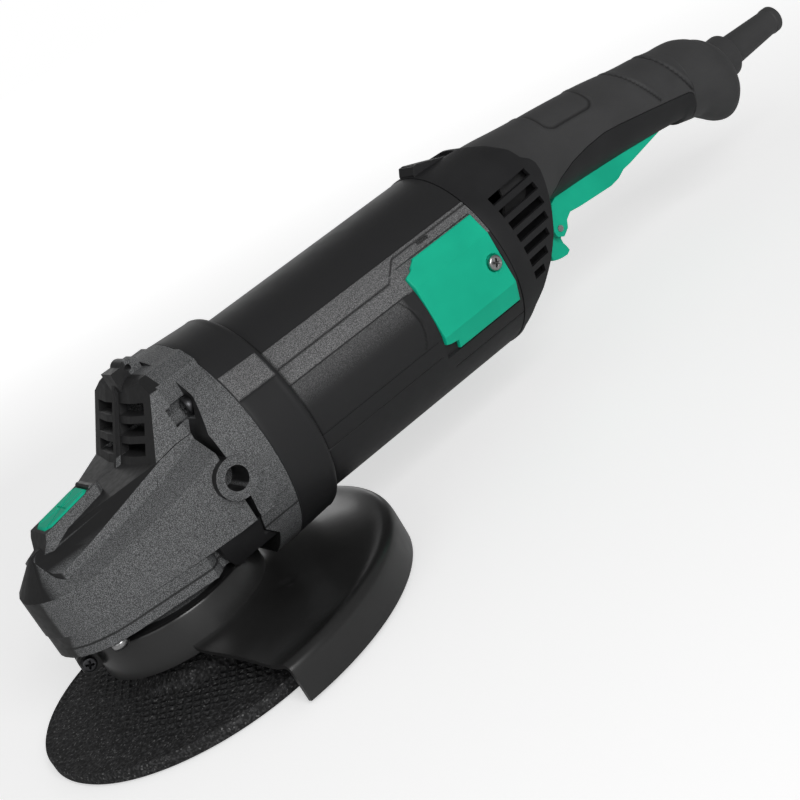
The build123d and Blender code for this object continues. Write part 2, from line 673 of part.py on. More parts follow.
def vent_slots():
    """Seven slots on each side of the rear cover, shorter towards the bottom."""
    cuts = []
    for i, rear in enumerate(VENT_ENDS):
        z = AXIS_Z + 26 - 7.2 * i
        slot = block((231.5, rear), (25, 60), (z - 2.1, z + 2.1))
        cuts += both_sides(slot)
    return cuts


def rear_cover():
    shell = cover_envelope(0, COVER_X[0]) - cover_envelope(COVER_WALL, COVER_X[0] + 2)
    spigot = turned_x([(214, 44.5), (214, HOUSING_BORE - 0.08), (221, HOUSING_BORE - 0.08),
                       (223, 47), (223, 44.5)])
    shell -= rod_x(COVER_X[0] - 1, COVER_X[0] + 3, 44.5)
    shell += spigot
    for cut in vent_slots():
        shell -= cut
    shell -= block((221, 249), (-7.3, 7.3), (129, 140))
    shell -= rod_x(245, 290, 13, 0, 103)
    shell += block((220.6, 250), (-9, 9), (126.5, 129))
    return shell.solids().sort_by(SortBy.VOLUME)[-1]


def handle_latch():
    tab = prism_y([(221.2, 129.3), (221.2, 132.6), (223.2, 136.3), (226, 136.3), (243.5, 130.4),
                   (244.5, 129.3)], -7, 7)
    for i in range(4):
        tab -= block((224 + 3 * i, 225 + 3 * i), (-6, 6), (135.4 - i, 138))
    return tab


def handle_body(inset):
    """The handle's smooth outer form, a loft through its sections, shrunk by a wall."""
    rings = []
    for x, z, half_h, half_w in HANDLE_SECTIONS:
        plane = Plane((x, 0, z), x_dir=(0, 1, 0), z_dir=(1, 0, 0))
        rings.append(plane * Ellipse(half_w - inset, half_h - inset))
    return loft(rings)


HARD_SIDE = [(281, 40), (281, 78), (284, 82.5), (290, 87), (301, 90.7), (314, 92.4), (328, 92.8),
             (340, 91), (370, 85.3), (395, 80), (396, 40)]


def handle_pieces():
    """Two hard half shells, and the soft grip moulded over their top and rear."""
    outer = handle_body(0)
    core = handle_body(1.6)
    inner = handle_body(4.2)
    envelope = cover_envelope(0, COVER_X[0])
    soft = outer - core - prism_y(HARD_SIDE, -60, 60) - envelope
    hard = outer - inner - soft - envelope
    hard += rod_x(424, 432, 20, 0, CORD_Z) & core
    for cut in (block((276, 388), (-11, 11), (40, 84)), rod_x(405, 460, 11.8, 0, CORD_Z),
                block((380, 392), (-11, 11), (40, 81))):
        hard -= cut
        soft -= cut
    ears = block((378, 390), (-18, -11.2), (66, 82)) + block((378, 390), (11.2, 18), (66, 82))
    hard += ears & core
    hard -= rod_y(-LEVER_PIN_HALF - 0.2, LEVER_PIN_HALF + 0.2, 2.0, *LEVER_PIVOT)
    left = below(hard, (0, -0.02, 0), (0, 1, 0)).solids().sort_by(SortBy.VOLUME)[-1]
    right = below(hard, (0, 0.02, 0), (0, -1, 0)).solids().sort_by(SortBy.VOLUME)[-1]
    return left, right, soft.solids().sort_by(SortBy.VOLUME)[-1]


def rear_ring():
    ring = turned_x([(426, 9.3), (426, 11.6), (432.2, 11.6), (432.2, 12.6), (433, 13), (442.3, 13),
                     (443.3, 12.2), (443.3, 9.3)], CORD_Z)
    return ring


def cord_guard():
    tube = turned_x([(418, CORD_BORE_R), (418, 11), (424, 11), (424, 9.25), (446, 9.2), (482, 7.5),
                     (482.6, 8.0), (486.5, 7.9), (487, 7.4), (487, CORD_BORE_R)], CORD_Z)
    return tube


def cord_clamp():
    return block((408, 416), (-12, 12), (CORD_Z + 4.8, CORD_Z + 9))


def switch_body():
    body = block((311, 352), (-9, 9), (90.5, 106))
    return body - block((325.8, 332.2), (-3.2, 3.2), (90, 98))


def switch_plunger():
    return block((326, 332), (-3, 3), (77.6, 91.5))


def lever_channel():
    """The paddle: a channel open upwards, stepped below and carried on ears at the front."""
    side = [(389, 72.6), (389, 79), (372, 79), (362, 75), (300, 77.5), (288, 78), (284, 76),
            (277.5, 63), (278, 59.5), (282, 57.4), (286.5, 60), (288.5, 64), (292.5, 66.3),
            (300, 65.2), (324, 63.2), (330.5, 64), (336, 66.3), (342, 66.8), (369, 70.8)]
    paddle = prism_y(side, -10.4, 10.4)
    paddle -= block((292, 350), (-8.2, 8.2), (68.5, 90))
    paddle -= block((349, 378), (-8.2, 8.2), (74, 90))
    paddle -= block((270, 292), (-5.3, 5.3), (50, 90))
    paddle += block((320, 338), (-9, 9), (74, 77)) & prism_y(side, -10, 10)
    paddle -= rod_y(-20, 20, 2 + RUN, *LEVER_PIVOT)
    return paddle - rod_y(-20, 20, 1.8, *LOCK_PIVOT)


def lock_off_lever():
    shape = prism_y([(284.5, 74), (280, 70), (277.2, 63), (276.4, 58), (272.6, 52), (272, 48.5),
                     (274.9, 47.4), (278.4, 46.6), (282, 46.3), (284.6, 47.6), (284.1, 50.2),
                     (283, 53), (283, 55.8), (286.5, 60.5), (288, 66), (288, 74)], -5, 5)
    return shape - rod_y(-10, 10, 1.8 + RUN, *LOCK_PIVOT)


def lever_spring():
    return rod_z(74.5, 89, 4, x=304) - rod_z(74, 90, 3, x=304)


# ---------------------------------------------------------------- every node
def build_all():
    parts["spindle"] = spindle()
    parts["inner_flange"] = inner_flange()
    parts["grinding_wheel"] = grinding_wheel()
    parts["lock_nut"] = lock_nut()
    parts["crown_gear"] = crown_gear()
    parts["gear_housing"] = gear_housing()
    parts["gear_cover"] = gear_cover()
    parts["gear_cover_screws"] = gear_cover_screws()
    parts["flange_screws"] = flange_screws()
    parts["exhaust_deflectors"] = exhaust_deflectors()
    parts["spindle_bearing"] = bearing(8.5 + RUN, 20, 12, 9, Pos(0, 0, 44))
    parts["bearing_retainer"] = turned_z([(14, 50.2), (25.8, 50.2), (25.8, 51.8), (14, 51.8)])
    parts["needle_bearing"] = turned_z([(4.5 + RUN, 82), (7.5, 82), (7.5, 91.5), (4.5 + RUN, 91.5)])
    parts["felt_seal"] = turned_z([(11.5 + RUN, 30.2), (15.9, 30.2), (15.9, 33.8), (11.5 + RUN, 33.8)])
    parts["lock_button"] = lock_button()
    parts["lock_pin"] = lock_pin()
    parts["lock_spring"] = lock_spring()
    parts["front_collar"] = front_collar()
    parts["motor_housing"] = motor_housing()
    parts["fan_baffle"] = fan_baffle()
    parts["front_bearing"] = bearing(7.5 + RUN, 17.5, 11, 8, Pos(44.5, 0, AXIS_Z) * Rot(0, 90, 0))
    parts["rear_bearing"] = bearing(5 + RUN, 13, 8, 8, Pos(208, 0, AXIS_Z) * Rot(0, 90, 0))
    parts["stator_core"] = stator_core()
    parts["stator_coils"] = stator_coils()
    left = brush_cover()
    parts["brush_cover_left"] = left
    parts["brush_cover_right"] = mirror(left, about=Plane.XZ)
    parts["brush_cover_screws"] = group(*both_sides(brush_cover_screw()))
    parts["brush_holders"] = group(*both_sides(brush_holder()))
    parts["carbon_brushes"] = group(*both_sides(carbon_brush()))
    parts["brush_springs"] = group(*both_sides(brush_spring()))
    parts["armature_shaft"] = armature_shaft()
    parts["armature_core"] = armature_core()
    parts["armature_windings"] = armature_windings()
    parts["commutator"] = commutator()
    parts["cooling_fan"] = cooling_fan()
    parts["pinion"] = pinion()
    parts["pinion_nut"] = pinion_nut()
    parts["guard"] = guard()
    parts["guard_clamp_screw"] = guard_clamp_screw()
    parts["guard_clamp_nut"] = guard_clamp_nut()
    parts["rear_cover"] = rear_cover()
    parts["handle_latch"] = handle_latch()
    parts["handle_left"], parts["handle_right"], parts["handle_grip"] = handle_pieces()
    parts["rear_ring"] = rear_ring()
    parts["cord_guard"] = cord_guard()
    parts["cord_clamp"] = cord_clamp()
    parts["switch_body"] = switch_body()
    parts["switch_plunger"] = switch_plunger()
    parts["switch_lever"] = lever_channel()
    parts["lever_pin"] = rod_y(-LEVER_PIN_HALF, LEVER_PIN_HALF, 2, *LEVER_PIVOT)
    parts["lever_spring"] = lever_spring()
    parts["lock_off_lever"] = lock_off_lever()
    parts["lock_off_pin"] = rod_y(-10.8, 10.8, 1.8, *LOCK_PIVOT)


build_all()
os.makedirs("parts", exist_ok=True)
for node, shape in parts.items():
    export_step(shape, f"parts/{node}.step")
print(len(parts), "nodes written")
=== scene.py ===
"""The looks of a large two-handed angle grinder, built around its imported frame.

Sizes in the classes are millimetres in the frame's own axes: X runs back from the spindle to the
rear handle, Z runs up the spindle, and the origin is the centre of the lock nut's lower face.
"""
from __future__ import annotations

import json
import logging
from dataclasses import dataclass
from enum import Enum

import bmesh
import bpy
import numpy as np
from mathutils import Matrix, Vector

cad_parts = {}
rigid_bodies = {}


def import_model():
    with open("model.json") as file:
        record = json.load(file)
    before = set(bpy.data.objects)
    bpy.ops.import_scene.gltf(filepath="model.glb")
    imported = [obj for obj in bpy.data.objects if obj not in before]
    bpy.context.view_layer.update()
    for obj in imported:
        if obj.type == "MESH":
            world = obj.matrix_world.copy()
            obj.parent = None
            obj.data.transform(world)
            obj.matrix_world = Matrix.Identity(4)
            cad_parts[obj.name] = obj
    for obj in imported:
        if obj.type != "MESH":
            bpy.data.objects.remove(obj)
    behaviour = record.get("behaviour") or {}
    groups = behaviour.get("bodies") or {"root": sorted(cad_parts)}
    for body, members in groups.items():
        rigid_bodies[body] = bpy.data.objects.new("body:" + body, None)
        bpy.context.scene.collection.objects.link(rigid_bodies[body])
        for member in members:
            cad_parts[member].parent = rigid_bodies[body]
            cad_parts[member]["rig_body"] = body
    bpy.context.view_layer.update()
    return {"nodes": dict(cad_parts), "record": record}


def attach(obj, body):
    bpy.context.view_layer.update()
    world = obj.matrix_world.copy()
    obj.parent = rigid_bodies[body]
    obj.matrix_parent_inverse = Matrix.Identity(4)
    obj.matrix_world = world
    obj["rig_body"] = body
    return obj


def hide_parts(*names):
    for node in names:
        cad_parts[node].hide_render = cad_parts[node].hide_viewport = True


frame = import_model()
LOG = logging.getLogger("grinder")

MM = 0.001
AXIS_Z = 81.0
DEGREE = np.radians(1.0)
FULL_TURN = 2.0 * np.pi
MIRROR = (1.0, -1.0, 1.0)
# The near-black painted into the bottoms of grooves and recesses, and how much of it: painted shade, with
# some dirt.
GROOVE_SHADE_AND_DIRT = (0.003, 0.003, 0.003)
GROOVE_SHADE_AND_DIRT_SHARE = 0.7

Colour = tuple[float, float, float]
Point = tuple[float, float, float]
Span = tuple[float, float]
Socket = bpy.types.NodeSocket
Feed = Socket | float


class Slot(Enum):
    """The material slots that the record names."""

    CAST = "cast_housing"
    DARK = "dark_plastic"
    HOUSING = "housing_plastic"
    GRIP = "soft_grip"
    GREEN = "green_plastic"
    GUARD = "guard_paint"
    ABRASIVE = "abrasive"
    STEEL = "steel"
    DARK_STEEL = "dark_steel"
    ZINC = "zinc"
    LAMINATION = "lamination"
    COPPER = "copper"
    BRASS = "brass"
    CARBON = "carbon"
    FELT = "felt"
    WHITE = "white_plastic"


class Body(Enum):
    """The bodies that the new pieces ride on."""

    HOUSING = "housing"
    SPINDLE = "spindle"
    GUARD = "guard"
    HANDLE = "rear_handle"


class Mask(Enum):
    """The vertex masks, 0 to 1, that materials read from a mesh."""

    GRAIN = "grain"
    LINE = "line"


# ------------------------------------------------------------------ materials
# The middle of a noise pattern's range, in which nearly all of it lies.
CLOUD = (0.3, 0.7)
HANDLED = (0.3, 0.75)
FALLING = (1.0, 0.0)


def shaded(colour: Colour, share: float) -> Colour:
    """Return a colour with every channel multiplied by share."""
    return tuple(channel * share for channel in colour)


class Graph:
    """A material's node tree around one Principled shader, built a node at a time."""

    def __init__(self, name: str) -> None:
        """Start an empty finish.

        Args:
            name: the material's name.
        """
        self.material = bpy.data.materials.new(name)
        self.material.use_nodes = True
        self.tree = self.material.node_tree
        self.shader = self.tree.nodes["Principled BSDF"]
        self.coords = self.tree.nodes.new("ShaderNodeTexCoord").outputs["Object"]

    def feed(self, socket: Socket, value: Feed | Colour) -> None:
        """Link or set one input.

        Args:
            socket: the input.
            value: a socket to link, a number, or a colour.
        """
        if isinstance(value, Socket):
            self.tree.links.new(value, socket)
        elif isinstance(value, tuple) and len(socket.default_value) > len(value):
            socket.default_value = (*value, 1.0)
        else:
            socket.default_value = value

    def add(self, kind: str, sockets: dict, **options: object) -> bpy.types.Node:
        """Add a node.

        Args:
            kind: the node's Blender type.
            sockets: what goes into its inputs, by name or number: a value, or a socket to link.
            options: the node's own settings.

        Returns:
            The new node.
        """
        node = self.tree.nodes.new(kind)
        for key, value in options.items():
            setattr(node, key, value)
        for key, value in sockets.items():
            self.feed(node.inputs[key], value)
        return node

    def noise(self, size_mm: float, detail: float = 4.0, where: Socket | None = None) -> Socket:
        """Return a soft cloud pattern, 0 to 1, whose blobs are about size_mm across."""
        sockets = {"Vector": where or self.coords, "Scale": 1.0 / (size_mm * MM), "Detail": detail}
        return self.add("ShaderNodeTexNoise", sockets).outputs["Fac"]

    def cell_tone(self, size_mm: float) -> Socket:
        """Return a random tone, 0 to 1, for each cell of a pattern of cells about size_mm across."""
        cells = self.add("ShaderNodeTexVoronoi", {"Vector": self.coords, "Scale": 1.0 / (size_mm * MM)})
        return self.add("ShaderNodeSeparateColor", {"Color": cells.outputs["Color"]}).outputs[0]

    def math(self, operation: str, first: Feed, second: Feed = 0.0) -> Socket:
        """Return the result of one Math node."""
        return self.add("ShaderNodeMath", {0: first, 1: second}, operation=operation).outputs[0]

    def levels(self, value: Feed, source: Span, target: Span = (0.0, 1.0)) -> Socket:
        """Stretch a value from one range to another, and clamp it there.

        Args:
            value: the value.
            source: the two ends of its own range, the first one being the lower.
            target: what those two ends become.

        Returns:
            The socket with the stretched value.
        """
        names = ("Value", "From Min", "From Max", "To Min", "To Max")
        sockets = dict(zip(names, (value, *source, *target)))
        return self.add("ShaderNodeMapRange", sockets, clamp=True).outputs["Result"]

    def blend(self, share: Feed, first: Socket | Colour, second: Socket | Colour) -> Socket:
        """Mix two colours.

        Args:
            share: how much of the second there is, 0 to 1.
            first: the first colour.
            second: the second colour.

        Returns:
            The mixed colour.
        """
        factor, colour_a, colour_b, mixed = 0, 6, 7, 2
        sockets = {factor: share, colour_a: first, colour_b: second}
        return self.add("ShaderNodeMix", sockets, data_type="RGBA").outputs[mixed]

    def bump(self, height: Feed, depth_mm: float, under: Socket | None = None) -> Socket:
        """Push the surface in and out.

        Args:
            height: the relief, 0 to 1.
            depth_mm: how deep a height of 1 is.
            under: a normal that this relief lies on.

        Returns:
            The new normal.
        """
        sockets = {"Height": height, "Distance": depth_mm * MM}
        if under is not None:
            sockets["Normal"] = under
        return self.add("ShaderNodeBump", sockets).outputs["Normal"]

    def place(self) -> bpy.types.NodeOutputs:
        """Return the X, Y and Z outputs of the object coordinates, in metres."""
        return self.add("ShaderNodeSeparateXYZ", {"Vector": self.coords}).outputs

    def radius(self, x: Socket, y: Socket) -> Socket:
        """Return the distance from the Z axis, in metres: the root of x squared plus y squared."""
        squares = self.math("ADD", self.math("POWER", x, 2.0), self.math("POWER", y, 2.0))
        return self.math("SQRT", squares)

    def mask(self, mask: Mask) -> Socket:
        """Return one of the mesh's own vertex masks."""
        return self.add("ShaderNodeAttribute", {}, attribute_name=mask.value).outputs["Fac"]

    def shade_and_soil_grooves(self, colour: Socket | Colour) -> Socket:
        """Return a colour darkened by painted shade and dirt where the line mask marks a groove."""
        return self.blend(self.math("MULTIPLY", self.mask(Mask.LINE), GROOVE_SHADE_AND_DIRT_SHARE), colour, GROOVE_SHADE_AND_DIRT)

    def dress(self, colour: Socket | Colour, roughness: Feed, normal: Socket | None = None,
              **constants: float) -> bpy.types.Material:
        """Feed the shader.

        Args:
            colour: base colour.
            roughness: 0 for a mirror to 1 for chalk.
            normal: the normal with its relief.
            constants: shader inputs set directly, with _ for a space in the name.

        Returns:
            The finished material.
        """
        self.feed(self.shader.inputs["Base Color"], colour)
        self.feed(self.shader.inputs["Roughness"], roughness)
        if normal is not None:
            self.feed(self.shader.inputs["Normal"], normal)
        for name, value in constants.items():
            self.shader.inputs[name.replace("_", " ")].default_value = value
        return self.material


@dataclass(frozen=True)
class CastFinish:
    """Black die casting: smooth satin on top and in front, and dense light grain on its sides."""

    smooth: Colour = (0.014, 0.014, 0.0145)
    hollow: Colour = (0.030, 0.031, 0.032)
    peak: Colour = (0.24, 0.245, 0.25)
    grain_mm: float = 0.38
    grain_range: Span = (0.42, 0.66)
    depth_mm: float = 0.16
    cloud_mm: float = 16.0
    handled_mm: float = 3.0
    roughness: Span = (0.38, 0.50)
    grain_roughness: float = 0.12
    skin_mm: float = 0.5
    skin_depth_mm: float = 0.012
    sideways: Span = (0.36, 0.62)
    sideways_fade: float = 0.06
    end_facing: Span = (0.45, 0.60)
    roof_m: Span = (0.118, 0.124)
    flange_m: Span = (0.0393, 0.0396)
    beside_louvres_m: Span = (0.0290, 0.0296)
    louvres_foot_m: Span = (0.1068, 0.1070)
    seam_m: float = 0.052
    seam_fade_m: Span = (0.0003, 0.0008)
    seam_shade_and_dirt: float = 0.85
    seam_colour: Colour = (0.004, 0.004, 0.004)

    def grained(self, g: Graph) -> Socket:
        """Work out where the grain is.

        It covers faces that look sideways, fewer of them above the roof line, and the whole flange,
        but not the air outlet's louvres.

        Args:
            g: the finish's node tree.

        Returns:
            How much grain there is, 0 to 1.
        """
        face = g.add("ShaderNodeTexCoord", {}).outputs["Normal"]
        normal = g.add("ShaderNodeSeparateXYZ", {"Vector": face}).outputs
        x, y, z = g.place()
        needed = g.levels(z, self.roof_m, self.sideways)
        past = g.math("SUBTRACT", g.math("ABSOLUTE", normal["Y"]), needed)
        side = g.levels(past, (0.0, self.sideways_fade))
        flange = g.levels(x, self.flange_m)
        not_ends = g.levels(g.math("ABSOLUTE", normal["X"]), self.end_facing, FALLING)
        covered = g.math("MAXIMUM", side, g.math("MULTIPLY", flange, not_ends))
        beside = g.levels(g.math("ABSOLUTE", y), self.beside_louvres_m)
        below = g.levels(z, self.louvres_foot_m, FALLING)
        no_louvre = g.math("MAXIMUM", g.math("MAXIMUM", beside, below), flange)
        return g.math("MULTIPLY", covered, no_louvre)

    def build(self) -> bpy.types.Material:
        """Build the material, with painted shade and dirt in the seam above the gear cover.

        Returns:
            The material.
        """
        g = Graph("cast_housing_finish")
        grained = self.grained(g)
        grain = g.noise(self.grain_mm, 2.0)
        tone = g.blend(g.levels(g.noise(self.cloud_mm), CLOUD), self.hollow, shaded(self.hollow, 1.5))
        rough_colour = g.blend(g.levels(grain, self.grain_range), tone, self.peak)
        colour = g.blend(grained, self.smooth, rough_colour)
        # A dark line along the seam above the gear cover: painted shade, with some dirt in the joint.
        from_seam = g.math("ABSOLUTE", g.math("SUBTRACT", g.place()["Z"], self.seam_m))
        shade_and_dirt = g.levels(from_seam, self.seam_fade_m, (self.seam_shade_and_dirt, 0.0))
        colour = g.blend(shade_and_dirt, colour, self.seam_colour)
        handled = g.levels(g.noise(self.handled_mm), CLOUD, self.roughness)
        rough = g.math("ADD", handled, g.math("MULTIPLY", grained, self.grain_roughness))
        coarse = g.bump(g.math("MULTIPLY", grain, grained), self.depth_mm)
        relief = g.bump(g.noise(self.skin_mm), self.skin_depth_mm, coarse)
        return g.dress(colour, rough, relief, Specular_IOR_Level=0.45)


@dataclass(frozen=True)
class HousingFinish:
    """The motor's plastic: dark and satin, grained where the mesh's own grain mask says so."""

    smooth: Colour = (0.022, 0.022, 0.023)
    hollow: Colour = (0.060, 0.060, 0.061)
    peak: Colour = (0.30, 0.30, 0.305)
    grain_mm: float = 0.36
    grain_range: Span = (0.42, 0.68)
    depth_mm: float = 0.14
    handled_mm: float = 11.0
    roughness: Span = (0.44, 0.52)
    grain_roughness: float = 0.12
    skin_mm: float = 0.4
    skin_depth_mm: float = 0.01

    def build(self) -> bpy.types.Material:
        """Build the material.

        Returns:
            The material.
        """
        g = Graph("housing_plastic_finish")
        mask = g.mask(Mask.GRAIN)
        grain = g.noise(self.grain_mm, 2.0)
        grained = g.blend(g.levels(grain, self.grain_range), self.hollow, self.peak)
        # The line mask darkens the panel lines, the slot and the collar's groove: painted shade, with some
        # dirt.
        colour = g.shade_and_soil_grooves(g.blend(mask, self.smooth, grained))
        handled = g.levels(g.noise(self.handled_mm), HANDLED, self.roughness)
        rough = g.math("ADD", handled, g.math("MULTIPLY", mask, self.grain_roughness))
        coarse = g.bump(g.math("MULTIPLY", grain, mask), self.depth_mm)
        relief = g.bump(g.noise(self.skin_mm), self.skin_depth_mm, coarse)
        return g.dress(colour, rough, relief, Specular_IOR_Level=0.28)


@dataclass(frozen=True)
class PlasticFinish:
    """Moulded plastic: a base colour with faint flow marks and a fine spark-eroded grain."""

    name: str
    colour: Colour
    gloss: float
    grain_mm: float = 0.45
    depth_mm: float = 0.03
    fleck: float = 0.25
    fleck_range: Span = (0.55, 0.75)
    sheen: float = 0.0
    flow_mm: float = 22.0
    handled_mm: float = 9.0
    handled_dulling: float = 0.06

    def build(self) -> bpy.types.Material:
        """Build the material.

        Returns:
            The material.
        """
        g = Graph(self.name)
        grain = g.noise(self.grain_mm, 3.0)
        light = tuple(min(1.0, channel * 1.35 + 0.006) for channel in self.colour)
        flow = g.math("MULTIPLY", g.levels(g.noise(self.flow_mm, 2.0), CLOUD), 0.5)
        base = g.blend(flow, self.colour, light)
        # Where a mesh has a line mask, as the soft grip does, its grooves are darkened: painted shade,
        # with some dirt.
        colour = g.shade_and_soil_grooves(g.blend(g.levels(grain, self.fleck_range, (0.0, self.fleck)), base, light))
        matt = 1.0 - self.gloss
        rough = g.levels(g.noise(self.handled_mm, 5.0), HANDLED, (matt, matt + self.handled_dulling))
        return g.dress(colour, rough, g.bump(grain, self.depth_mm), Sheen_Weight=self.sheen,
                       Specular_IOR_Level=0.3)


@dataclass(frozen=True)
class MetalFinish:
    """Bare or plated metal with fine tool marks that run across the motor's axis."""

    name: str
    colour: Colour
    roughness: float
    lines_mm: float = 1.4
    stretch: Point = (6.0, 1.0, 6.0)
    depth_mm: float = 0.01
    stain_mm: float = 6.0
    stain_range: Span = (0.4, 0.75)
    stain_shade: float = 0.72

    def build(self) -> bpy.types.Material:
        """Build the material: noise stretched along Y makes the tool marks.

        Returns:
            The material.
        """
        g = Graph(self.name)
        stretched = g.add("ShaderNodeMapping", {"Vector": g.coords, "Scale": self.stretch})
        lines = g.noise(self.lines_mm, 3.0, stretched.outputs["Vector"])
        stain = g.levels(g.noise(self.stain_mm), self.stain_range)
        # Where a mesh has a line mask, as the screws' crosses do, the recess is darkened: painted shade.
        colour = g.shade_and_soil_grooves(g.blend(stain, self.colour, shaded(self.colour, self.stain_shade)))
        rough = g.levels(lines, CLOUD, (self.roughness * 0.75, self.roughness * 1.2))
        return g.dress(colour, rough, g.bump(lines, self.depth_mm), Metallic=1.0)


@dataclass(frozen=True)
class CoatedSteelFinish:
    """Deep black gloss powder coat, with a slight orange peel."""

    colour: Colour = (0.013, 0.013, 0.013)
    cloud_mm: float = 20.0
    handled_mm: float = 12.0
    roughness: Span = (0.28, 0.36)
    peel_mm: float = 1.6
    depth_mm: float = 0.012

    def build(self) -> bpy.types.Material:
        """Build the material.

        Returns:
            The material.
        """
        g = Graph("guard_paint_finish")
        colour = g.blend(g.noise(self.cloud_mm), self.colour, shaded(self.colour, 1.6))
        rough = g.levels(g.noise(self.handled_mm), CLOUD, self.roughness)
        peel = g.bump(g.noise(self.peel_mm, 2.0), self.depth_mm)
        return g.dress(colour, rough, peel, Coat_Weight=0.3, Coat_Roughness=0.2)


@dataclass(frozen=True)
class Cloth:
    """The glass cloth in the wheel: two families of threads that cross in a diamond mesh.

    The wheel's relief and its finish both follow it, so that they agree.
    """

    pitch: float = 5.2
    lean: float = 0.55
    sharpness: int = 3
    worn: Span = (60.0, 78.0)
    left: float = 0.25


CLOTH = Cloth()


@dataclass(frozen=True)
class AbrasiveFinish:
    """Dark pressed grit in resin over the glass cloth, with a few bright grains."""

    colour: Colour = (0.021, 0.021, 0.0215)
    grit: Colour = (0.20, 0.20, 0.20)
    grit_mm: float = 0.75
    grit_range: Span = (0.945, 0.985)
    grit_share: float = 0.6
    roughness: Span = (0.72, 0.35)
    lump_mm: float = 1.3
    lump_range: Span = (0.45, 0.70)
    lump_light: float = 3.2
    lump_depth_mm: float = 0.3
    cloth_depth_mm: float = 1.1

    def cloth(self, g: Graph) -> Socket:
        """Draw the cloth, which fades out towards the rim.

        Each family of threads is the absolute sine of the distance across it, raised to a power.

        Args:
            g: the finish's node tree.

        Returns:
            The threads' height, 0 to 1.
        """
        x, y, _ = g.place()
        threads = []
        for lean in (CLOTH.lean, -CLOTH.lean):
            across = g.math("ADD", x, g.math("MULTIPLY", y, lean))
            wave = g.math("SINE", g.math("MULTIPLY", across, np.pi / (CLOTH.pitch * MM)))
            threads.append(g.math("POWER", g.math("ABSOLUTE", wave), float(CLOTH.sharpness)))
        worn_from, worn_to = CLOTH.worn
        shown = g.levels(g.radius(x, y), (worn_from * MM, worn_to * MM), (1.0, CLOTH.left))
        return g.math("MULTIPLY", g.math("MAXIMUM", *threads), shown)

    def build(self) -> bpy.types.Material:
        """Build the material.

        Returns:
            The material.
        """
        g = Graph("abrasive_finish")
        sparkle = g.levels(g.cell_tone(self.grit_mm), self.grit_range)
        lump = g.noise(self.lump_mm)
        light = shaded(self.colour, self.lump_light)
        tone = g.blend(g.levels(lump, self.lump_range), self.colour, light)
        colour = g.blend(g.math("MULTIPLY", sparkle, self.grit_share), tone, self.grit)
        rough = g.levels(sparkle, (0.0, 1.0), self.roughness)
        relief = g.bump(lump, self.lump_depth_mm, g.bump(self.cloth(g), self.cloth_depth_mm))
        return g.dress(colour, rough, relief, Specular_IOR_Level=0.12)


@dataclass(frozen=True)
class StackFinish:
    """Thin steel sheets stacked along the motor, or enamelled wire wound round it."""

    name: str
    colour: Colour
    pitch_mm: float
    roughness: float
    ridge_range: Span = (-1.0, 0.4)
    depth_mm: float = 0.15
    cloud_mm: float = 5.0
    gap_shade: float = 0.45

    def build(self) -> bpy.types.Material:
        """Build the material: one ridge for each sheet or wire, from the sine of X.

        Returns:
            The material.
        """
        g = Graph(self.name)
        wave = g.math("SINE", g.math("MULTIPLY", g.place()["X"], FULL_TURN / (self.pitch_mm * MM)))
        ridge = g.levels(wave, self.ridge_range)
        varied = g.blend(g.noise(self.cloud_mm), self.colour, shaded(self.colour, 0.8))
        colour = g.blend(ridge, shaded(self.colour, self.gap_shade), varied)
        return g.dress(colour, self.roughness, g.bump(ridge, self.depth_mm), Metallic=0.9)


@dataclass(frozen=True)
class FeltFinish:
    """Pressed wool felt."""

    colour: Colour = (0.27, 0.24, 0.19)
    fibre_mm: float = 0.5
    depth_mm: float = 0.3

    def build(self) -> bpy.types.Material:
        """Build the material.

        Returns:
            The material.
        """
        g = Graph("felt_finish")
        fibre = g.noise(self.fibre_mm, 6.0)
        colour = g.blend(fibre, self.colour, shaded(self.colour, 1.6))
        return g.dress(colour, 0.95, g.bump(fibre, self.depth_mm), Sheen_Weight=0.4)


FINISHES = {
    Slot.CAST: CastFinish(),
    Slot.DARK: PlasticFinish("dark_plastic_finish", (0.016, 0.016, 0.017), gloss=0.56),
    Slot.HOUSING: HousingFinish(),
    Slot.GRIP: PlasticFinish("soft_grip_finish", (0.046, 0.046, 0.047), gloss=0.42, grain_mm=0.6,
                             depth_mm=0.05, fleck=0.3, sheen=0.05),
    Slot.GREEN: PlasticFinish("green_plastic_finish", (0.0, 0.46, 0.28), gloss=0.50, grain_mm=0.5,
                              depth_mm=0.012, fleck=0.1),
    Slot.GUARD: CoatedSteelFinish(),
    Slot.ABRASIVE: AbrasiveFinish(),
    Slot.STEEL: MetalFinish("steel_finish", (0.50, 0.50, 0.51), roughness=0.34),
    Slot.DARK_STEEL: MetalFinish("dark_steel_finish", (0.09, 0.09, 0.095), roughness=0.42),
    Slot.ZINC: MetalFinish("zinc_finish", (0.48, 0.48, 0.48), roughness=0.3),
    Slot.LAMINATION: StackFinish("lamination_finish", (0.30, 0.30, 0.32), pitch_mm=0.7, roughness=0.45),
    Slot.COPPER: StackFinish("copper_finish", (0.50, 0.17, 0.06), pitch_mm=0.9, roughness=0.35),
    Slot.BRASS: MetalFinish("brass_finish", (0.62, 0.42, 0.14), roughness=0.3),
    Slot.CARBON: PlasticFinish("carbon_finish", (0.02, 0.02, 0.02), gloss=0.4, grain_mm=0.3,
                               fleck=0.3),
    Slot.FELT: FeltFinish(),
    Slot.WHITE: PlasticFinish("white_plastic_finish", (0.55, 0.54, 0.50), gloss=0.55),
}


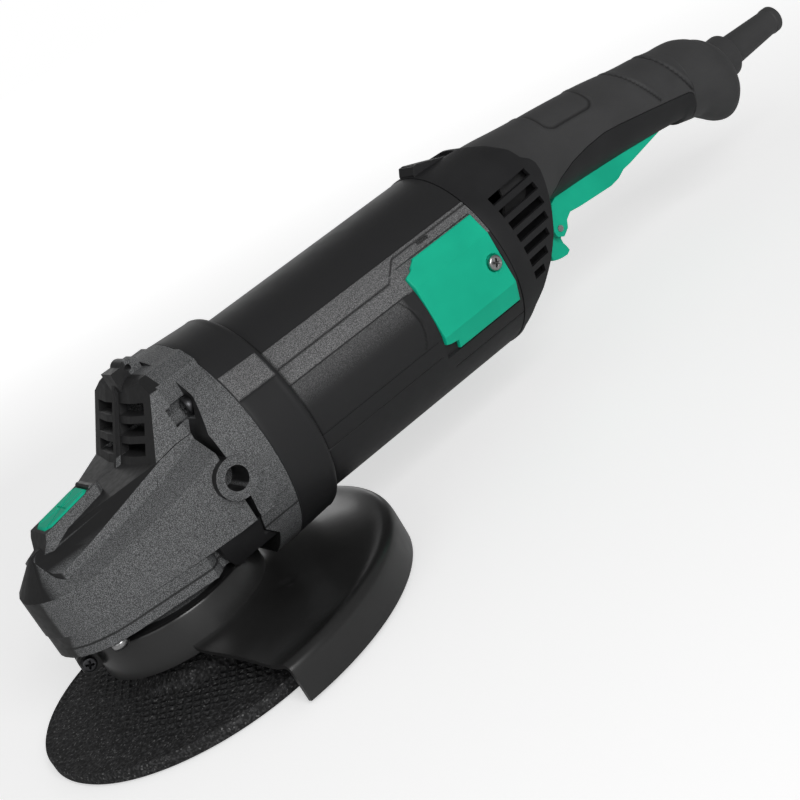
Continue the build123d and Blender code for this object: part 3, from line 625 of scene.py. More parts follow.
class Palette:
    """Every finish, made once, and given to pieces by their slot."""

    def __init__(self) -> None:
        """Build one material for each slot."""
        self.materials = {slot: finish.build() for slot, finish in FINISHES.items()}

    def dress(self, piece: bpy.types.Object, slot: Slot) -> None:
        """Give a piece the finish of one slot, in place of what it has."""
        piece.data.materials.clear()
        piece.data.materials.append(self.materials[slot])

    def dress_frame(self) -> None:
        """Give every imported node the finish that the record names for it."""
        for part in frame["record"]["subparts"]:
            self.dress(frame["nodes"][part["node"]], Slot(part["material_slot"]))

    def hang(self, piece: bpy.types.Object, body: str, slot: Slot, replaces: tuple[str, ...]) -> None:
        """Put a finished piece into the scene, on its body.

        Args:
            piece: the piece.
            body: the name of the body that it rides on.
            slot: the slot that its finish comes from.
            replaces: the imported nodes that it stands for.
        """
        bpy.context.scene.collection.objects.link(piece)
        self.dress(piece, slot)
        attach(piece, body)
        if replaces:
            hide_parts(*replaces)


# ------------------------------------------------------------------ studio
@dataclass(frozen=True)
class Lamp:
    """One square soft lamp, placed in metres."""

    name: str
    at: Point
    size: float
    watts: float


@dataclass
class Studio:
    """Pale floor, soft lamps and the camera."""

    camera_at: Point = (-191.5, -727.6, 311.5)
    right: Point = (0.709, -0.516, -0.481)
    up: Point = (0.577, 0.030, 0.816)
    lens: float = 74.87
    sensor: float = 36.0
    clip_m: Span = (0.05, 60.0)
    floor_z: float = -1.0
    floor_radius_m: float = 5.0
    floor_sides: int = 96
    floor_colours: tuple[Colour, Colour] = ((0.78, 0.78, 0.78), (0.80, 0.80, 0.80))
    floor_cloud_mm: float = 300.0
    floor_roughness: float = 0.85
    glow_m: Span = (0.5, 1.6)
    glow: Span = (0.5, 1.0)
    white: tuple[float, float, float, float] = (1.0, 1.0, 1.0, 1.0)
    ambient: float = 0.2
    lit_point: Point = (0.2, 0.0, 0.08)
    lamps: tuple[Lamp, ...] = (
        Lamp("key", (-0.2, -1.8, 1.0), 1.0, 22.0),
        Lamp("fill", (-1.5, -0.9, 0.9), 1.2, 4.0),
        Lamp("rim", (0.7, 1.4, 0.5), 0.9, 2.0),
    )

    def camera(self) -> None:
        """Place the camera at the three-quarter view of the left side, rolled to the right.

        Its turn is the frame of three unit vectors: right, up made square to it, and their cross
        product, which points back from the view.
        """
        data = bpy.data.cameras.new("camera")
        data.lens = self.lens
        data.sensor_width = self.sensor
        data.clip_start, data.clip_end = self.clip_m
        camera = bpy.data.objects.new("camera", data)
        across = Vector(self.right).normalized()
        upward = Vector(self.up)
        upward = (upward - across * upward.dot(across)).normalized()
        back = across.cross(upward)
        turn = Matrix((across, upward, back)).transposed().to_4x4()
        camera.matrix_world = Matrix.Translation(Vector(self.camera_at) * MM) @ turn
        bpy.context.scene.collection.objects.link(camera)
        bpy.context.scene.camera = camera

    def hang_lamp(self, lamp: Lamp) -> None:
        """Add one lamp, facing the lit point.

        Args:
            lamp: the lamp.
        """
        data = bpy.data.lights.new(lamp.name, "AREA")
        data.shape = "SQUARE"
        data.size = lamp.size
        data.energy = lamp.watts
        light = bpy.data.objects.new(lamp.name, data)
        facing = (Vector(self.lit_point) - Vector(lamp.at)).to_track_quat("-Z", "Y")
        light.matrix_world = Matrix.Translation(lamp.at) @ facing.to_matrix().to_4x4()
        bpy.context.scene.collection.objects.link(light)

    def world(self) -> None:
        """Light the scene evenly from all round, and show the camera a white background."""
        world = bpy.data.worlds.new("studio")
        bpy.context.scene.world = world
        world.use_nodes = True
        tree = world.node_tree
        back = tree.nodes["Background"]
        path = tree.nodes.new("ShaderNodeLightPath")
        level = tree.nodes.new("ShaderNodeMapRange")
        level.inputs["To Min"].default_value = self.ambient
        level.inputs["To Max"].default_value = 1.0
        tree.links.new(path.outputs["Is Camera Ray"], level.inputs["Value"])
        tree.links.new(level.outputs["Result"], back.inputs["Strength"])
        back.inputs["Color"].default_value = self.white

    def floor_finish(self) -> bpy.types.Material:
        """Build the floor's finish, which glows white to the camera, more so further out.

        Returns:
            The material.
        """
        g = Graph("floor_finish")
        x, y, _ = g.place()
        seen = g.add("ShaderNodeLightPath", {}).outputs["Is Camera Ray"]
        glow = g.math("MULTIPLY", seen, g.levels(g.radius(x, y), self.glow_m, self.glow))
        g.feed(g.shader.inputs["Emission Strength"], glow)
        g.feed(g.shader.inputs["Emission Color"], self.white)
        return g.dress(g.blend(g.noise(self.floor_cloud_mm), *self.floor_colours), self.floor_roughness)

    def floor(self) -> None:
        """Lay a round pale floor a little below the wheel."""
        turn = full_turn(self.floor_sides)
        ring = self.floor_radius_m * np.stack([np.cos(turn), np.sin(turn), 0.0 * turn], 1)
        ring[:, 2] = self.floor_z * MM
        mesh = bpy.data.meshes.new("floor")
        mesh.from_pydata(ring.tolist(), [], [list(range(self.floor_sides))])
        mesh.materials.append(self.floor_finish())
        floor = bpy.data.objects.new("floor", mesh)
        bpy.context.scene.collection.objects.link(floor)

    def build(self) -> None:
        """Set up the whole studio."""
        bpy.context.scene.view_settings.view_transform = "Standard"
        self.camera()
        self.world()
        self.floor()
        for lamp in self.lamps:
            self.hang_lamp(lamp)


# ------------------------------------------------------------------ surfaces
def smooth_step(value: np.ndarray, low: float, high: float) -> np.ndarray:
    """Return 0 below low, 1 above high, and 3t^2 - 2t^3 between them, t being the share of the way."""
    t = np.clip((value - low) / (high - low), 0.0, 1.0)
    return t * t * (3.0 - 2.0 * t)


def plateau(value: np.ndarray, rising: Span, falling: Span) -> np.ndarray:
    """Return 0, then 1 from the end of rising to the start of falling, then 0 again, all smooth."""
    return smooth_step(value, *rising) - smooth_step(value, *falling)


def hump(distance: np.ndarray, width: float) -> np.ndarray:
    """Return a bell: 1 in the middle, and exp(-(distance / width)^2) away from it."""
    return np.exp(-((distance / width) ** 2))


def groove(distance: np.ndarray, width: float, depth: float) -> np.ndarray:
    """Return a round-bottomed groove: -depth times exp(-(2 distance / width)^2)."""
    return -depth * np.exp(-((2.0 * distance / width) ** 2))


def rounded_edge(distance: np.ndarray, radius: float, depth: float) -> np.ndarray:
    """Return how far a surface drops near its edge.

    The drop is depth times (1 - sqrt(1 - (1 - t)^2)), t being distance / radius up to 1: a quarter
    of an ellipse.

    Args:
        distance: the distance in from the edge.
        radius: how far in the rounding reaches.
        depth: the drop at the edge itself.

    Returns:
        The drop, above zero.
    """
    t = np.clip(distance / radius, 0.0, 1.0)
    return depth * (1.0 - np.sqrt(np.clip(1.0 - (1.0 - t) ** 2, 0.0, 1.0)))


def rounded_box_distance(u: np.ndarray, v: np.ndarray, half: Span, corner: float) -> np.ndarray:
    """Return the signed distance to a rounded rectangle about (0, 0), negative inside.

    It is the distance to the rectangle shrunk by the corner radius, less that radius.

    Args:
        u: first coordinate.
        v: second coordinate.
        half: half the rectangle's size along u and along v.
        corner: the corner radius.

    Returns:
        The distances.
    """
    across = np.abs(u) - (half[0] - corner)
    along = np.abs(v) - (half[1] - corner)
    outside = np.hypot(np.maximum(across, 0.0), np.maximum(along, 0.0))
    return outside + np.minimum(np.maximum(across, along), 0.0) - corner


def full_turn(count: int) -> np.ndarray:
    """Return count angles evenly spaced round a circle, in radians, starting at 0."""
    return np.linspace(0.0, FULL_TURN, count + 1)[:-1]


def stops(ends: Span, step: float, sharp: tuple[float, ...], fine: float, reach: float) -> np.ndarray:
    """Choose sample places along a line.

    Args:
        ends: the first and the last place.
        step: about how far apart they are.
        sharp: places with detail round them.
        fine: how far apart they are near those.
        reach: how near that is.

    Returns:
        The places, in rising order.
    """
    first, last = ends
    count = int(round((last - first) / step)) + 1
    places = [np.linspace(first, last, count)]
    for place in sharp:
        places.append(np.arange(place - reach, place + reach + fine / 2, fine))
    merged = np.unique(np.round(np.concatenate(places), 4))
    merged = merged[(merged >= first) & (merged <= last)]
    keep = np.concatenate([[True], np.diff(merged) > fine * 0.4])
    keep[-1] = True
    return merged[keep]


def lined(outer: np.ndarray, inner: np.ndarray) -> np.ndarray:
    """Return one grid that runs along an outer sheet and back along the inner one."""
    return np.concatenate([outer, inner[:, ::-1]], 1)


def outer_only(mask: np.ndarray) -> np.ndarray:
    """Return a mask for a lined grid: the outer sheet's own, and 0 on the inner one."""
    return np.concatenate([mask, 0.0 * mask], 1)


def both_sides(left: np.ndarray) -> tuple[tuple[str, np.ndarray], ...]:
    """Return the names and grids of a left piece and its mirror image."""
    return ("left", left), ("right", left * MIRROR)


@dataclass
class Surface:
    """A mesh piece made from a grid of points, in millimetres.

    Rows and columns of the grid are joined by quads, and the last column to the first. Closed rows
    join up in the same way, and open ones end in a cap. The faces look outward whichever way the
    grid runs.
    """

    name: str
    points: np.ndarray
    closed_rows: bool = False
    sharp_degrees: float = 38.0
    masks: dict[Mask, np.ndarray] | None = None

    def faces(self) -> list[list[int]]:
        """Join the points up.

        The volume is the sum over quads of a . (b x c + c x d), whose sign says which way they face.

        Returns:
            The quads, and the two caps where there are any.
        """
        rows, columns = self.points.shape[:2]
        index = np.arange(rows * columns).reshape(rows, columns)
        if self.closed_rows:
            index = np.vstack([index, index[:1]])
        index = np.hstack([index, index[:, :1]])
        corners = [index[:-1, :-1], index[1:, :-1], index[1:, 1:], index[:-1, 1:]]
        quads = np.stack(corners, -1).reshape(-1, 4)
        faces = quads.tolist()
        if not self.closed_rows:
            ring = np.arange(columns)
            faces.append(ring.tolist())
            faces.append((ring + (rows - 1) * columns)[::-1].tolist())
        flat = self.points.reshape(-1, 3) - self.points.reshape(-1, 3).mean(0)
        a, b, c, d = (flat[quads[:, corner]] for corner in range(4))
        volume = np.sum(a * (np.cross(b, c) + np.cross(c, d)))
        return faces if volume > 0.0 else [face[::-1] for face in faces]

    def build(self, body: Body, slot: Slot, palette: Palette, *replaces: str) -> None:
        """Make the object and hang it on its body.

        Args:
            body: the body that it rides on.
            slot: the slot that its finish comes from.
            palette: the finishes.
            replaces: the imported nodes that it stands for.
        """
        mesh = bpy.data.meshes.new(self.name)
        mesh.from_pydata((self.points.reshape(-1, 3) * MM).tolist(), [], self.faces())
        for mask, values in (self.masks or {}).items():
            attribute = mesh.attributes.new(mask.value, "FLOAT", "POINT")
            attribute.data.foreach_set("value", values.astype(np.float32).ravel())
        mesh.shade_smooth()
        mesh.set_sharp_from_angle(angle=self.sharp_degrees * DEGREE)
        palette.hang(bpy.data.objects.new(self.name, mesh), body.value, slot, replaces)
        LOG.info("%s: %d vertices", self.name, len(mesh.vertices))


def turned(profile: list[Span], turns: int) -> np.ndarray:
    """Carry a closed profile round the spindle's axis.

    Args:
        profile: the profile's (radius, height) corners.
        turns: how many steps make the full turn.

    Returns:
        Points with one row a step round the axis and one column a profile corner.
    """
    radius, height = np.array(profile, float).T
    angle = full_turn(turns)[:, None]
    return np.stack([radius * np.cos(angle), radius * np.sin(angle), height + 0.0 * angle], -1)


# ------------------------------------------------------------------ motor barrel
@dataclass
class Barrel:
    """What the collar and the motor housing share: a wall round the motor's axis.

    Angles are degrees above the horizontal on each side, the same on the left and the right.
    """

    reach: float = 0.75
    fine_degrees: float = 0.3

    def lattice(self, along: np.ndarray, step: float, sharp: tuple[float, ...]) -> tuple[np.ndarray, ...]:
        """Lay out the grid's places, one row a turn.

        Args:
            along: the places along X.
            step: how far apart the turns are, in degrees.
            sharp: angles with detail round them.

        Returns:
            X, the turn about the axis, and the angle above the horizontal.
        """
        side = stops((-90.0, 90.0), step, sharp, self.fine_degrees, self.reach)
        around = np.concatenate([side, 180.0 - side[-2:0:-1]])
        turn, x = np.meshgrid(around, along, indexing="ij")
        rise = np.degrees(np.arcsin(np.sin(np.radians(turn))))
        return x, turn, rise

    def wall(self, x: np.ndarray, turn: np.ndarray, radius: np.ndarray, bore: np.ndarray) -> np.ndarray:
        """Build the closed wall between two radii.

        Args:
            x: the places along the axis.
            turn: the turn about the axis, in degrees.
            radius: the outside.
            bore: the inside.

        Returns:
            The grid of the outside and, after it, of the inside.
        """
        angle = np.radians(turn)
        outer, inner = (np.stack([x, -r * np.cos(angle), AXIS_Z + r * np.sin(angle)], -1)
                        for r in (radius, bore))
        return lined(outer, inner)


@dataclass
class FrontCollar(Barrel):
    """The ring between the gear housing and the motor, with one grained panel a side."""

    span: Span = (60.0, 86.0)
    profile_x: tuple[float, ...] = (60.0, 60.6, 62.0, 83.2, 84.4, 85.4, 86.0)
    profile_r: tuple[float, ...] = (56.9, 57.3, 57.4, 56.2, 55.7, 54.4, 52.6)
    mean_radius: float = 57.0
    bores: Span = (46.5, 44.0)
    bore_step_x: float = 83.0
    flat_z: float = 29.0
    panel_from: float = 27.5
    panel_cut: Span = (0.8, 0.5)
    panel_rising: Span = (27.2, 27.6)
    panel_falling: Span = (41.8, 42.4)
    middle_rising: Span = (60.6, 61.0)
    middle_falling: Span = (82.5, 83.0)
    panel_height: float = 0.2

    def build(self, palette: Palette) -> None:
        """Build the collar: a ring with a rounded rear step, flat below.

        Its outline is read from a profile, cut off at a flat underneath, and sunk everywhere but on
        the panel, with a groove under the panel's lower edge.

        Args:
            palette: the finishes.
        """
        along = stops(self.span, 2.0, (61.0, 84.0, 85.6), 0.25, 0.8)
        x, turn, rise = self.lattice(along, 1.5, (self.panel_from, 42.0))
        profile = np.interp(x, self.profile_x, self.profile_r)
        arc = DEGREE * self.mean_radius
        panel = plateau(rise, self.panel_rising, self.panel_falling)
        middle = plateau(x, self.middle_rising, self.middle_falling)
        line = groove((rise - self.panel_from) * arc, *self.panel_cut) * middle
        profile = profile + line - self.panel_height * (1 - panel) * middle
        upward = np.sin(np.radians(turn))
        flat = (AXIS_Z - self.flat_z) / np.maximum(-upward, 1e-6)
        radius = np.where(upward < 0, np.minimum(profile, flat), profile)
        front_bore, rear_bore = self.bores
        bore = np.where(x > self.bore_step_x, rear_bore, front_bore)
        grain = panel * middle
        # The line mask marks the groove under the panel, which the finish darkens as painted shade with
        # some dirt.
        masks = {Mask.GRAIN: np.concatenate([grain, grain], 1), Mask.LINE: outer_only(-line)}
        Surface("front_collar_ring", self.wall(x, turn, radius, bore), closed_rows=True,
                sharp_degrees=30.0, masks=masks).build(Body.HOUSING, Slot.HOUSING, palette, "front_collar")


@dataclass
class MotorHousing(Barrel):
    """The motor housing, with its panel lines, its grained side bands and its rear bearing's spider."""

    radius: float = 51.0
    bore: float = 48.0
    span: Span = (86.0, 219.8)
    band: Span = (-13.5, 42.0)
    band_height: float = 0.35
    band_edge: float = 0.5
    panel_lines: tuple[float, ...] = (19.0, -13.5, -24.0)
    panel_lines_end: Span = (163.0, 164.0)
    panel_cut: Span = (0.6, 0.45)
    step_at: Point = (159.0, 29.5, 10.5)
    step_cut: Span = (0.8, 0.5)
    badge_end: Point = (160.5, 3.0, 0.018)
    badge_cut: Span = (0.9, 0.45)
    badge_rising: Span = (-13.0, -12.4)
    badge_falling: Span = (18.2, 18.8)
    grain_rising: Span = (18.8, 19.2)
    grain_falling: Span = (41.8, 42.2)
    faint_grain_rising: Span = (2.0, 17.0)
    faint_grain_end: Span = (158.0, 160.0)
    low_line: float = -37.4
    low_line_start: Span = (170.5, 171.0)
    low_cut: Span = (0.8, 0.4)
    joint_x: float = 87.2
    joint_cut: Span = (0.9, 0.35)
    slot_at: Span = (188.8, 38.3)
    slot_half: Span = (3.6, 1.1)
    slot_corner: float = 0.5
    slot_edge: Span = (-0.3, 0.1)
    slot_depth: float = 1.1
    shade_and_dirt_depth: float = 0.3
    window_x: Span = (166.8, 217.7)
    window_rise: Span = (-27.3, 34.3)
    window_radius: float = 49.4
    spider: tuple[Span, ...] = (
        (48.0, 207.5), (48.0, 213.5), (44.0, 213.5), (16.0, 212.4), (13.0, 212.4),
        (13.0, 204.0), (16.0, 204.0), (18.0, 209.5), (44.0, 209.5))

    def band_step(self, rise: np.ndarray) -> np.ndarray:
        """Work out the step at the side band's edges: 0 on the band, and its height lower elsewhere.

        Args:
            rise: the degrees above the side's middle.

        Returns:
            The heights.
        """
        low, high = self.band
        in_band = plateau(rise, (low - self.band_edge, low), (high, high + self.band_edge))
        return self.band_height * in_band - self.band_height

    def panel_grooves(self, x: np.ndarray, rise: np.ndarray) -> np.ndarray:
        """Work out the panel lines and the small slot.

        The lines are narrow grooves along the band, each a (width, depth). One steps up by as many
        degrees as millimetres, and one closes the bare badge panel with a blunt point, a parabola. Arc
        lengths are the angle times the radius.

        Args:
            x: the places along the axis.
            rise: the angles above the horizontal, in degrees.

        Returns:
            The surface's height, below zero in a groove.
        """
        arc = DEGREE * self.radius
        relief = np.zeros_like(x)
        ahead = 1.0 - smooth_step(x, *self.panel_lines_end)
        for line in self.panel_lines:
            relief += groove((rise - line) * arc, *self.panel_cut) * ahead
        step_x, step_rise, step = self.step_at
        step_line = step_rise + step * np.clip((x - step_x) / step, 0.0, 1.0)
        relief += groove((rise - step_line) * arc * 0.8, *self.step_cut)
        point_x, point_rise, bluntness = self.badge_end
        badge_end = point_x - bluntness * (rise - point_rise) ** 2
        beside = plateau(rise, self.badge_rising, self.badge_falling)
        relief += groove(x - badge_end, *self.badge_cut) * beside
        behind = smooth_step(x, *self.low_line_start)
        relief += groove((rise - self.low_line) * arc, *self.low_cut) * behind
        relief += groove(x - self.joint_x, *self.joint_cut)
        slot_x, slot_rise = self.slot_at
        slot = rounded_box_distance(x - slot_x, (rise - slot_rise) * arc, self.slot_half, self.slot_corner)
        return relief - self.slot_depth * (1.0 - smooth_step(slot, *self.slot_edge))

    def grain(self, rise: np.ndarray, x: np.ndarray) -> np.ndarray:
        """Work out how strongly the surface is grained.

        Args:
            rise: the angles above the horizontal, in degrees.
            x: the places along the axis.

        Returns:
            1 on the upper band, fading from a half to 0 down the badge panel.
        """
        upper = plateau(rise, self.grain_rising, self.grain_falling)
        panel = plateau(rise, self.faint_grain_rising, self.grain_rising) * 0.5
        near = 1.0 - smooth_step(x, *self.faint_grain_end) * (rise < self.grain_rising[0])
        return upper + panel * near

    def build(self, palette: Palette) -> None:
        """Build the housing with its two brush windows, and the spider inside it.

        The outside is the radius, the band's step and the grooves added up. In the windows it drops
        to a smaller radius.

        Args:
            palette: the finishes.
        """
        slot_x, slot_rise = self.slot_at
        slot_ends = (slot_x - self.slot_half[0], slot_x + self.slot_half[0])
        detail_x = (self.joint_x, 157.5, 160.0, 163.5, 164.5, 166.0, 167.5, 169.0, 171.0)
        along = stops(self.span, 4.0, (*detail_x, *slot_ends, *self.window_x), 0.4, 0.8)
        step_rises = (self.step_at[1], *np.arange(30.0, 42.1, 1.5))
        dense = (*self.panel_lines, *self.band, self.low_line, slot_rise, *step_rises, *self.window_rise)
        x, turn, rise = self.lattice(along, 2.0, dense)
        grooves = self.panel_grooves(x, rise)
        inside = ((x > self.window_x[0]) & (x < self.window_x[1])
                  & (rise > self.window_rise[0]) & (rise < self.window_rise[1]))
        radius = np.where(inside, self.window_radius, self.radius + self.band_step(rise) + grooves)
        grid = self.wall(x, turn, radius, np.full_like(x, self.bore))
        grain = self.grain(rise, x)
        # The line mask, from the groove depth, darkens the panel lines and the slot as painted shade with
        # some dirt, but not the windows.
        shade_and_dirt = np.where(inside, 0.0, np.clip(-grooves / self.shade_and_dirt_depth, 0.0, 1.0))
        masks = {Mask.GRAIN: np.concatenate([grain, grain], 1), Mask.LINE: outer_only(shade_and_dirt)}
        Surface("motor_housing_barrel", grid, closed_rows=True, sharp_degrees=30.0,
                masks=masks).build(Body.HOUSING, Slot.HOUSING, palette, "motor_housing")
        ring = turned(list(self.spider), 96)
        spider = np.stack([ring[..., 2], -ring[..., 0], AXIS_Z + ring[..., 1]], -1)
        Surface("rear_bearing_spider", spider, closed_rows=True).build(Body.HOUSING, Slot.DARK, palette)


# ------------------------------------------------------------------ brush covers
@dataclass
class BrushCovers:
    """Two green lids of three flat facets each, notched at their front corners."""

    front: float = 167.0
    rear: float = 217.5
    angles: tuple[float, ...] = (-25.5, -12.5, 18.8, 33.0)
    radii: tuple[float, ...] = (51.9, 53.2, 53.2, 52.0)
    inside: float = 49.7
    edge_radius: float = 0.9
    top_notch: Span = (26.0, 28.5)
    top_slope: Span = (28.8, 33.0)
    top_depths: Span = (5.5, 4.5)
    bottom_notch: Span = (17.5, 20.0)
    bottom_depth: float = 7.5
    screw: Span = (211.5, 84.1)
    seat_depth: float = 1.7
    seat_edge: Span = (4.0, 4.5)
    seat_ring: Point = (5.0, 0.6, 0.25)

    def front_line(self, rise: np.ndarray) -> np.ndarray:
        """Work out the lid's front edge, which steps back at the top and bottom corners.

        Args:
            rise: the degrees above the side's middle.

        Returns:
            X along the edge.
        """
        straight, slope = self.top_depths
        top = smooth_step(rise, *self.top_notch) * (straight + slope * smooth_step(rise, *self.top_slope))
        return self.front + top + self.bottom_depth * smooth_step(-rise, *self.bottom_notch)

    def dip(self, x: np.ndarray, z: np.ndarray, edge: np.ndarray) -> np.ndarray:
        """Work out how far the lid's face lies below its facets.

        It drops round every edge and in the screw's seat, and rises in a low ring round the seat.

        Args:
            x: the places along the lid.
            z: the heights.
            edge: the distance in from the nearest edge.

        Returns:
            The depth.
        """
        away = np.hypot(x - self.screw[0], z - self.screw[1])
        ring_r, ring_width, ring_height = self.seat_ring
        seat = self.seat_depth * (1.0 - smooth_step(away, *self.seat_edge))
        return (rounded_edge(edge, self.edge_radius, self.edge_radius) + seat
                - ring_height * hump(away - ring_r, ring_width))

    def build(self, palette: Palette) -> None:
        """Build the left lid and its mirror image on the right.

        The grid runs up the lid and back along it. Each row is a straight line, whose place between
        two of the facets' corners is found by interpolation.

        Args:
            palette: the finishes.
        """
        lowest, highest = self.angles[0], self.angles[-1]
        rise = stops((lowest, highest), 0.9, self.angles, 0.3, 0.9)
        share = np.unique(np.concatenate([np.linspace(0, 1, 64), np.linspace(0, 0.03, 7),
                                          np.linspace(0.97, 1, 7), np.linspace(0.8, 0.97, 26)]))
        corners = np.radians(self.angles)
        side = np.interp(rise, self.angles, np.array(self.radii) * np.cos(corners))[:, None]
        height = np.interp(rise, self.angles, np.array(self.radii) * np.sin(corners))[:, None]
        front = self.front_line(rise)[:, None]
        x = front + (self.rear - front) * share
        side, height = side + 0.0 * x, height + 0.0 * x
        arc = DEGREE * self.radii[-1]
        up_down = np.minimum(rise - lowest, highest - rise)[:, None] * arc
        edge = np.minimum(np.minimum(x - front, self.rear - x), up_down)
        length = np.hypot(side, height)
        outer, inner = (np.stack([x, -side * scale, AXIS_Z + height * scale], -1) for scale in (
            (length - self.dip(x, AXIS_Z + height, edge)) / length, self.inside / length))
        for name, grid in both_sides(lined(outer, inner)):
            Surface(f"brush_cover_{name}_lid", grid, sharp_degrees=24.0).build(
                Body.HOUSING, Slot.GREEN, palette, f"brush_cover_{name}")


# ------------------------------------------------------------------ wheel
@dataclass
class Wheel:
    """The depressed-centre wheel, with the glass cloth pressed into both faces."""

    radius: float = 90.0
    bore: float = 11.1
    thickness: float = 6.4
    dish: tuple[Span, ...] = ((31.0, 13.0), (34.5, 9.6), (36.6, 7.3))
    under_dish: tuple[Span, ...] = ((34.0, 0.6), (30.0, 4.2), (27.0, 7.0))
    hub: Span = (7.0, 13.0)
    flat_from: float = 38.0
    rim: float = 0.9
    rim_width: float = 0.8
    rings: int = 62
    spokes: int = 720
    cloth_depth: float = 0.6
    grit: float = 0.05
    seed: int = 7

    def relief(self, x: np.ndarray, y: np.ndarray) -> np.ndarray:
        """Work out the relief of the flat faces.

        Each family of threads is the absolute sine of the distance across it, raised to a power. The
        higher of the two counts, worn down towards the rim, and a seeded grain is added.

        Args:
            x: the points' X.
            y: their Y.

        Returns:
            The height, never above the flat face.
        """
        threads = [np.abs(np.sin((x + lean * y) * np.pi / CLOTH.pitch)) ** CLOTH.sharpness
                   for lean in (CLOTH.lean, -CLOTH.lean)]
        left = 1.0 - (1.0 - CLOTH.left) * smooth_step(np.hypot(x, y), *CLOTH.worn)
        grit = np.random.default_rng(self.seed).normal(0.0, self.grit, x.shape)
        cloth = self.cloth_depth * np.maximum(*threads) * left
        return np.minimum(cloth - self.cloth_depth + grit, 0.0)

    def build(self, palette: Palette) -> None:
        """Build the wheel: its profile turned round the spindle, then pressed in on both flat faces.

        Args:
            palette: the finishes.
        """
        flat = np.linspace(self.flat_from, self.radius - self.rim_width, self.rings)
        upper = [*self.dish, *((r, self.thickness) for r in flat),
                 (self.radius, self.thickness - self.rim)]
        lower = [(self.radius, self.rim), *((r, 0.0) for r in flat[::-2]), *self.under_dish,
                 *((self.bore, z) for z in self.hub)]
        grid = turned(upper + lower, self.spokes)
        x, y = grid[..., 0], grid[..., 1]
        radius = np.hypot(x, y)
        upward = np.where(np.arange(grid.shape[1]) < len(upper), 1.0, -1.0)
        pressed = (radius > self.flat_from + 0.5) & (radius < self.radius - self.rim)
        grid[..., 2] += np.where(pressed, upward * self.relief(x, y), 0.0)
        Surface("abrasive_wheel", grid, closed_rows=True, sharp_degrees=50.0).build(
            Body.SPINDLE, Slot.ABRASIVE, palette, "grinding_wheel")


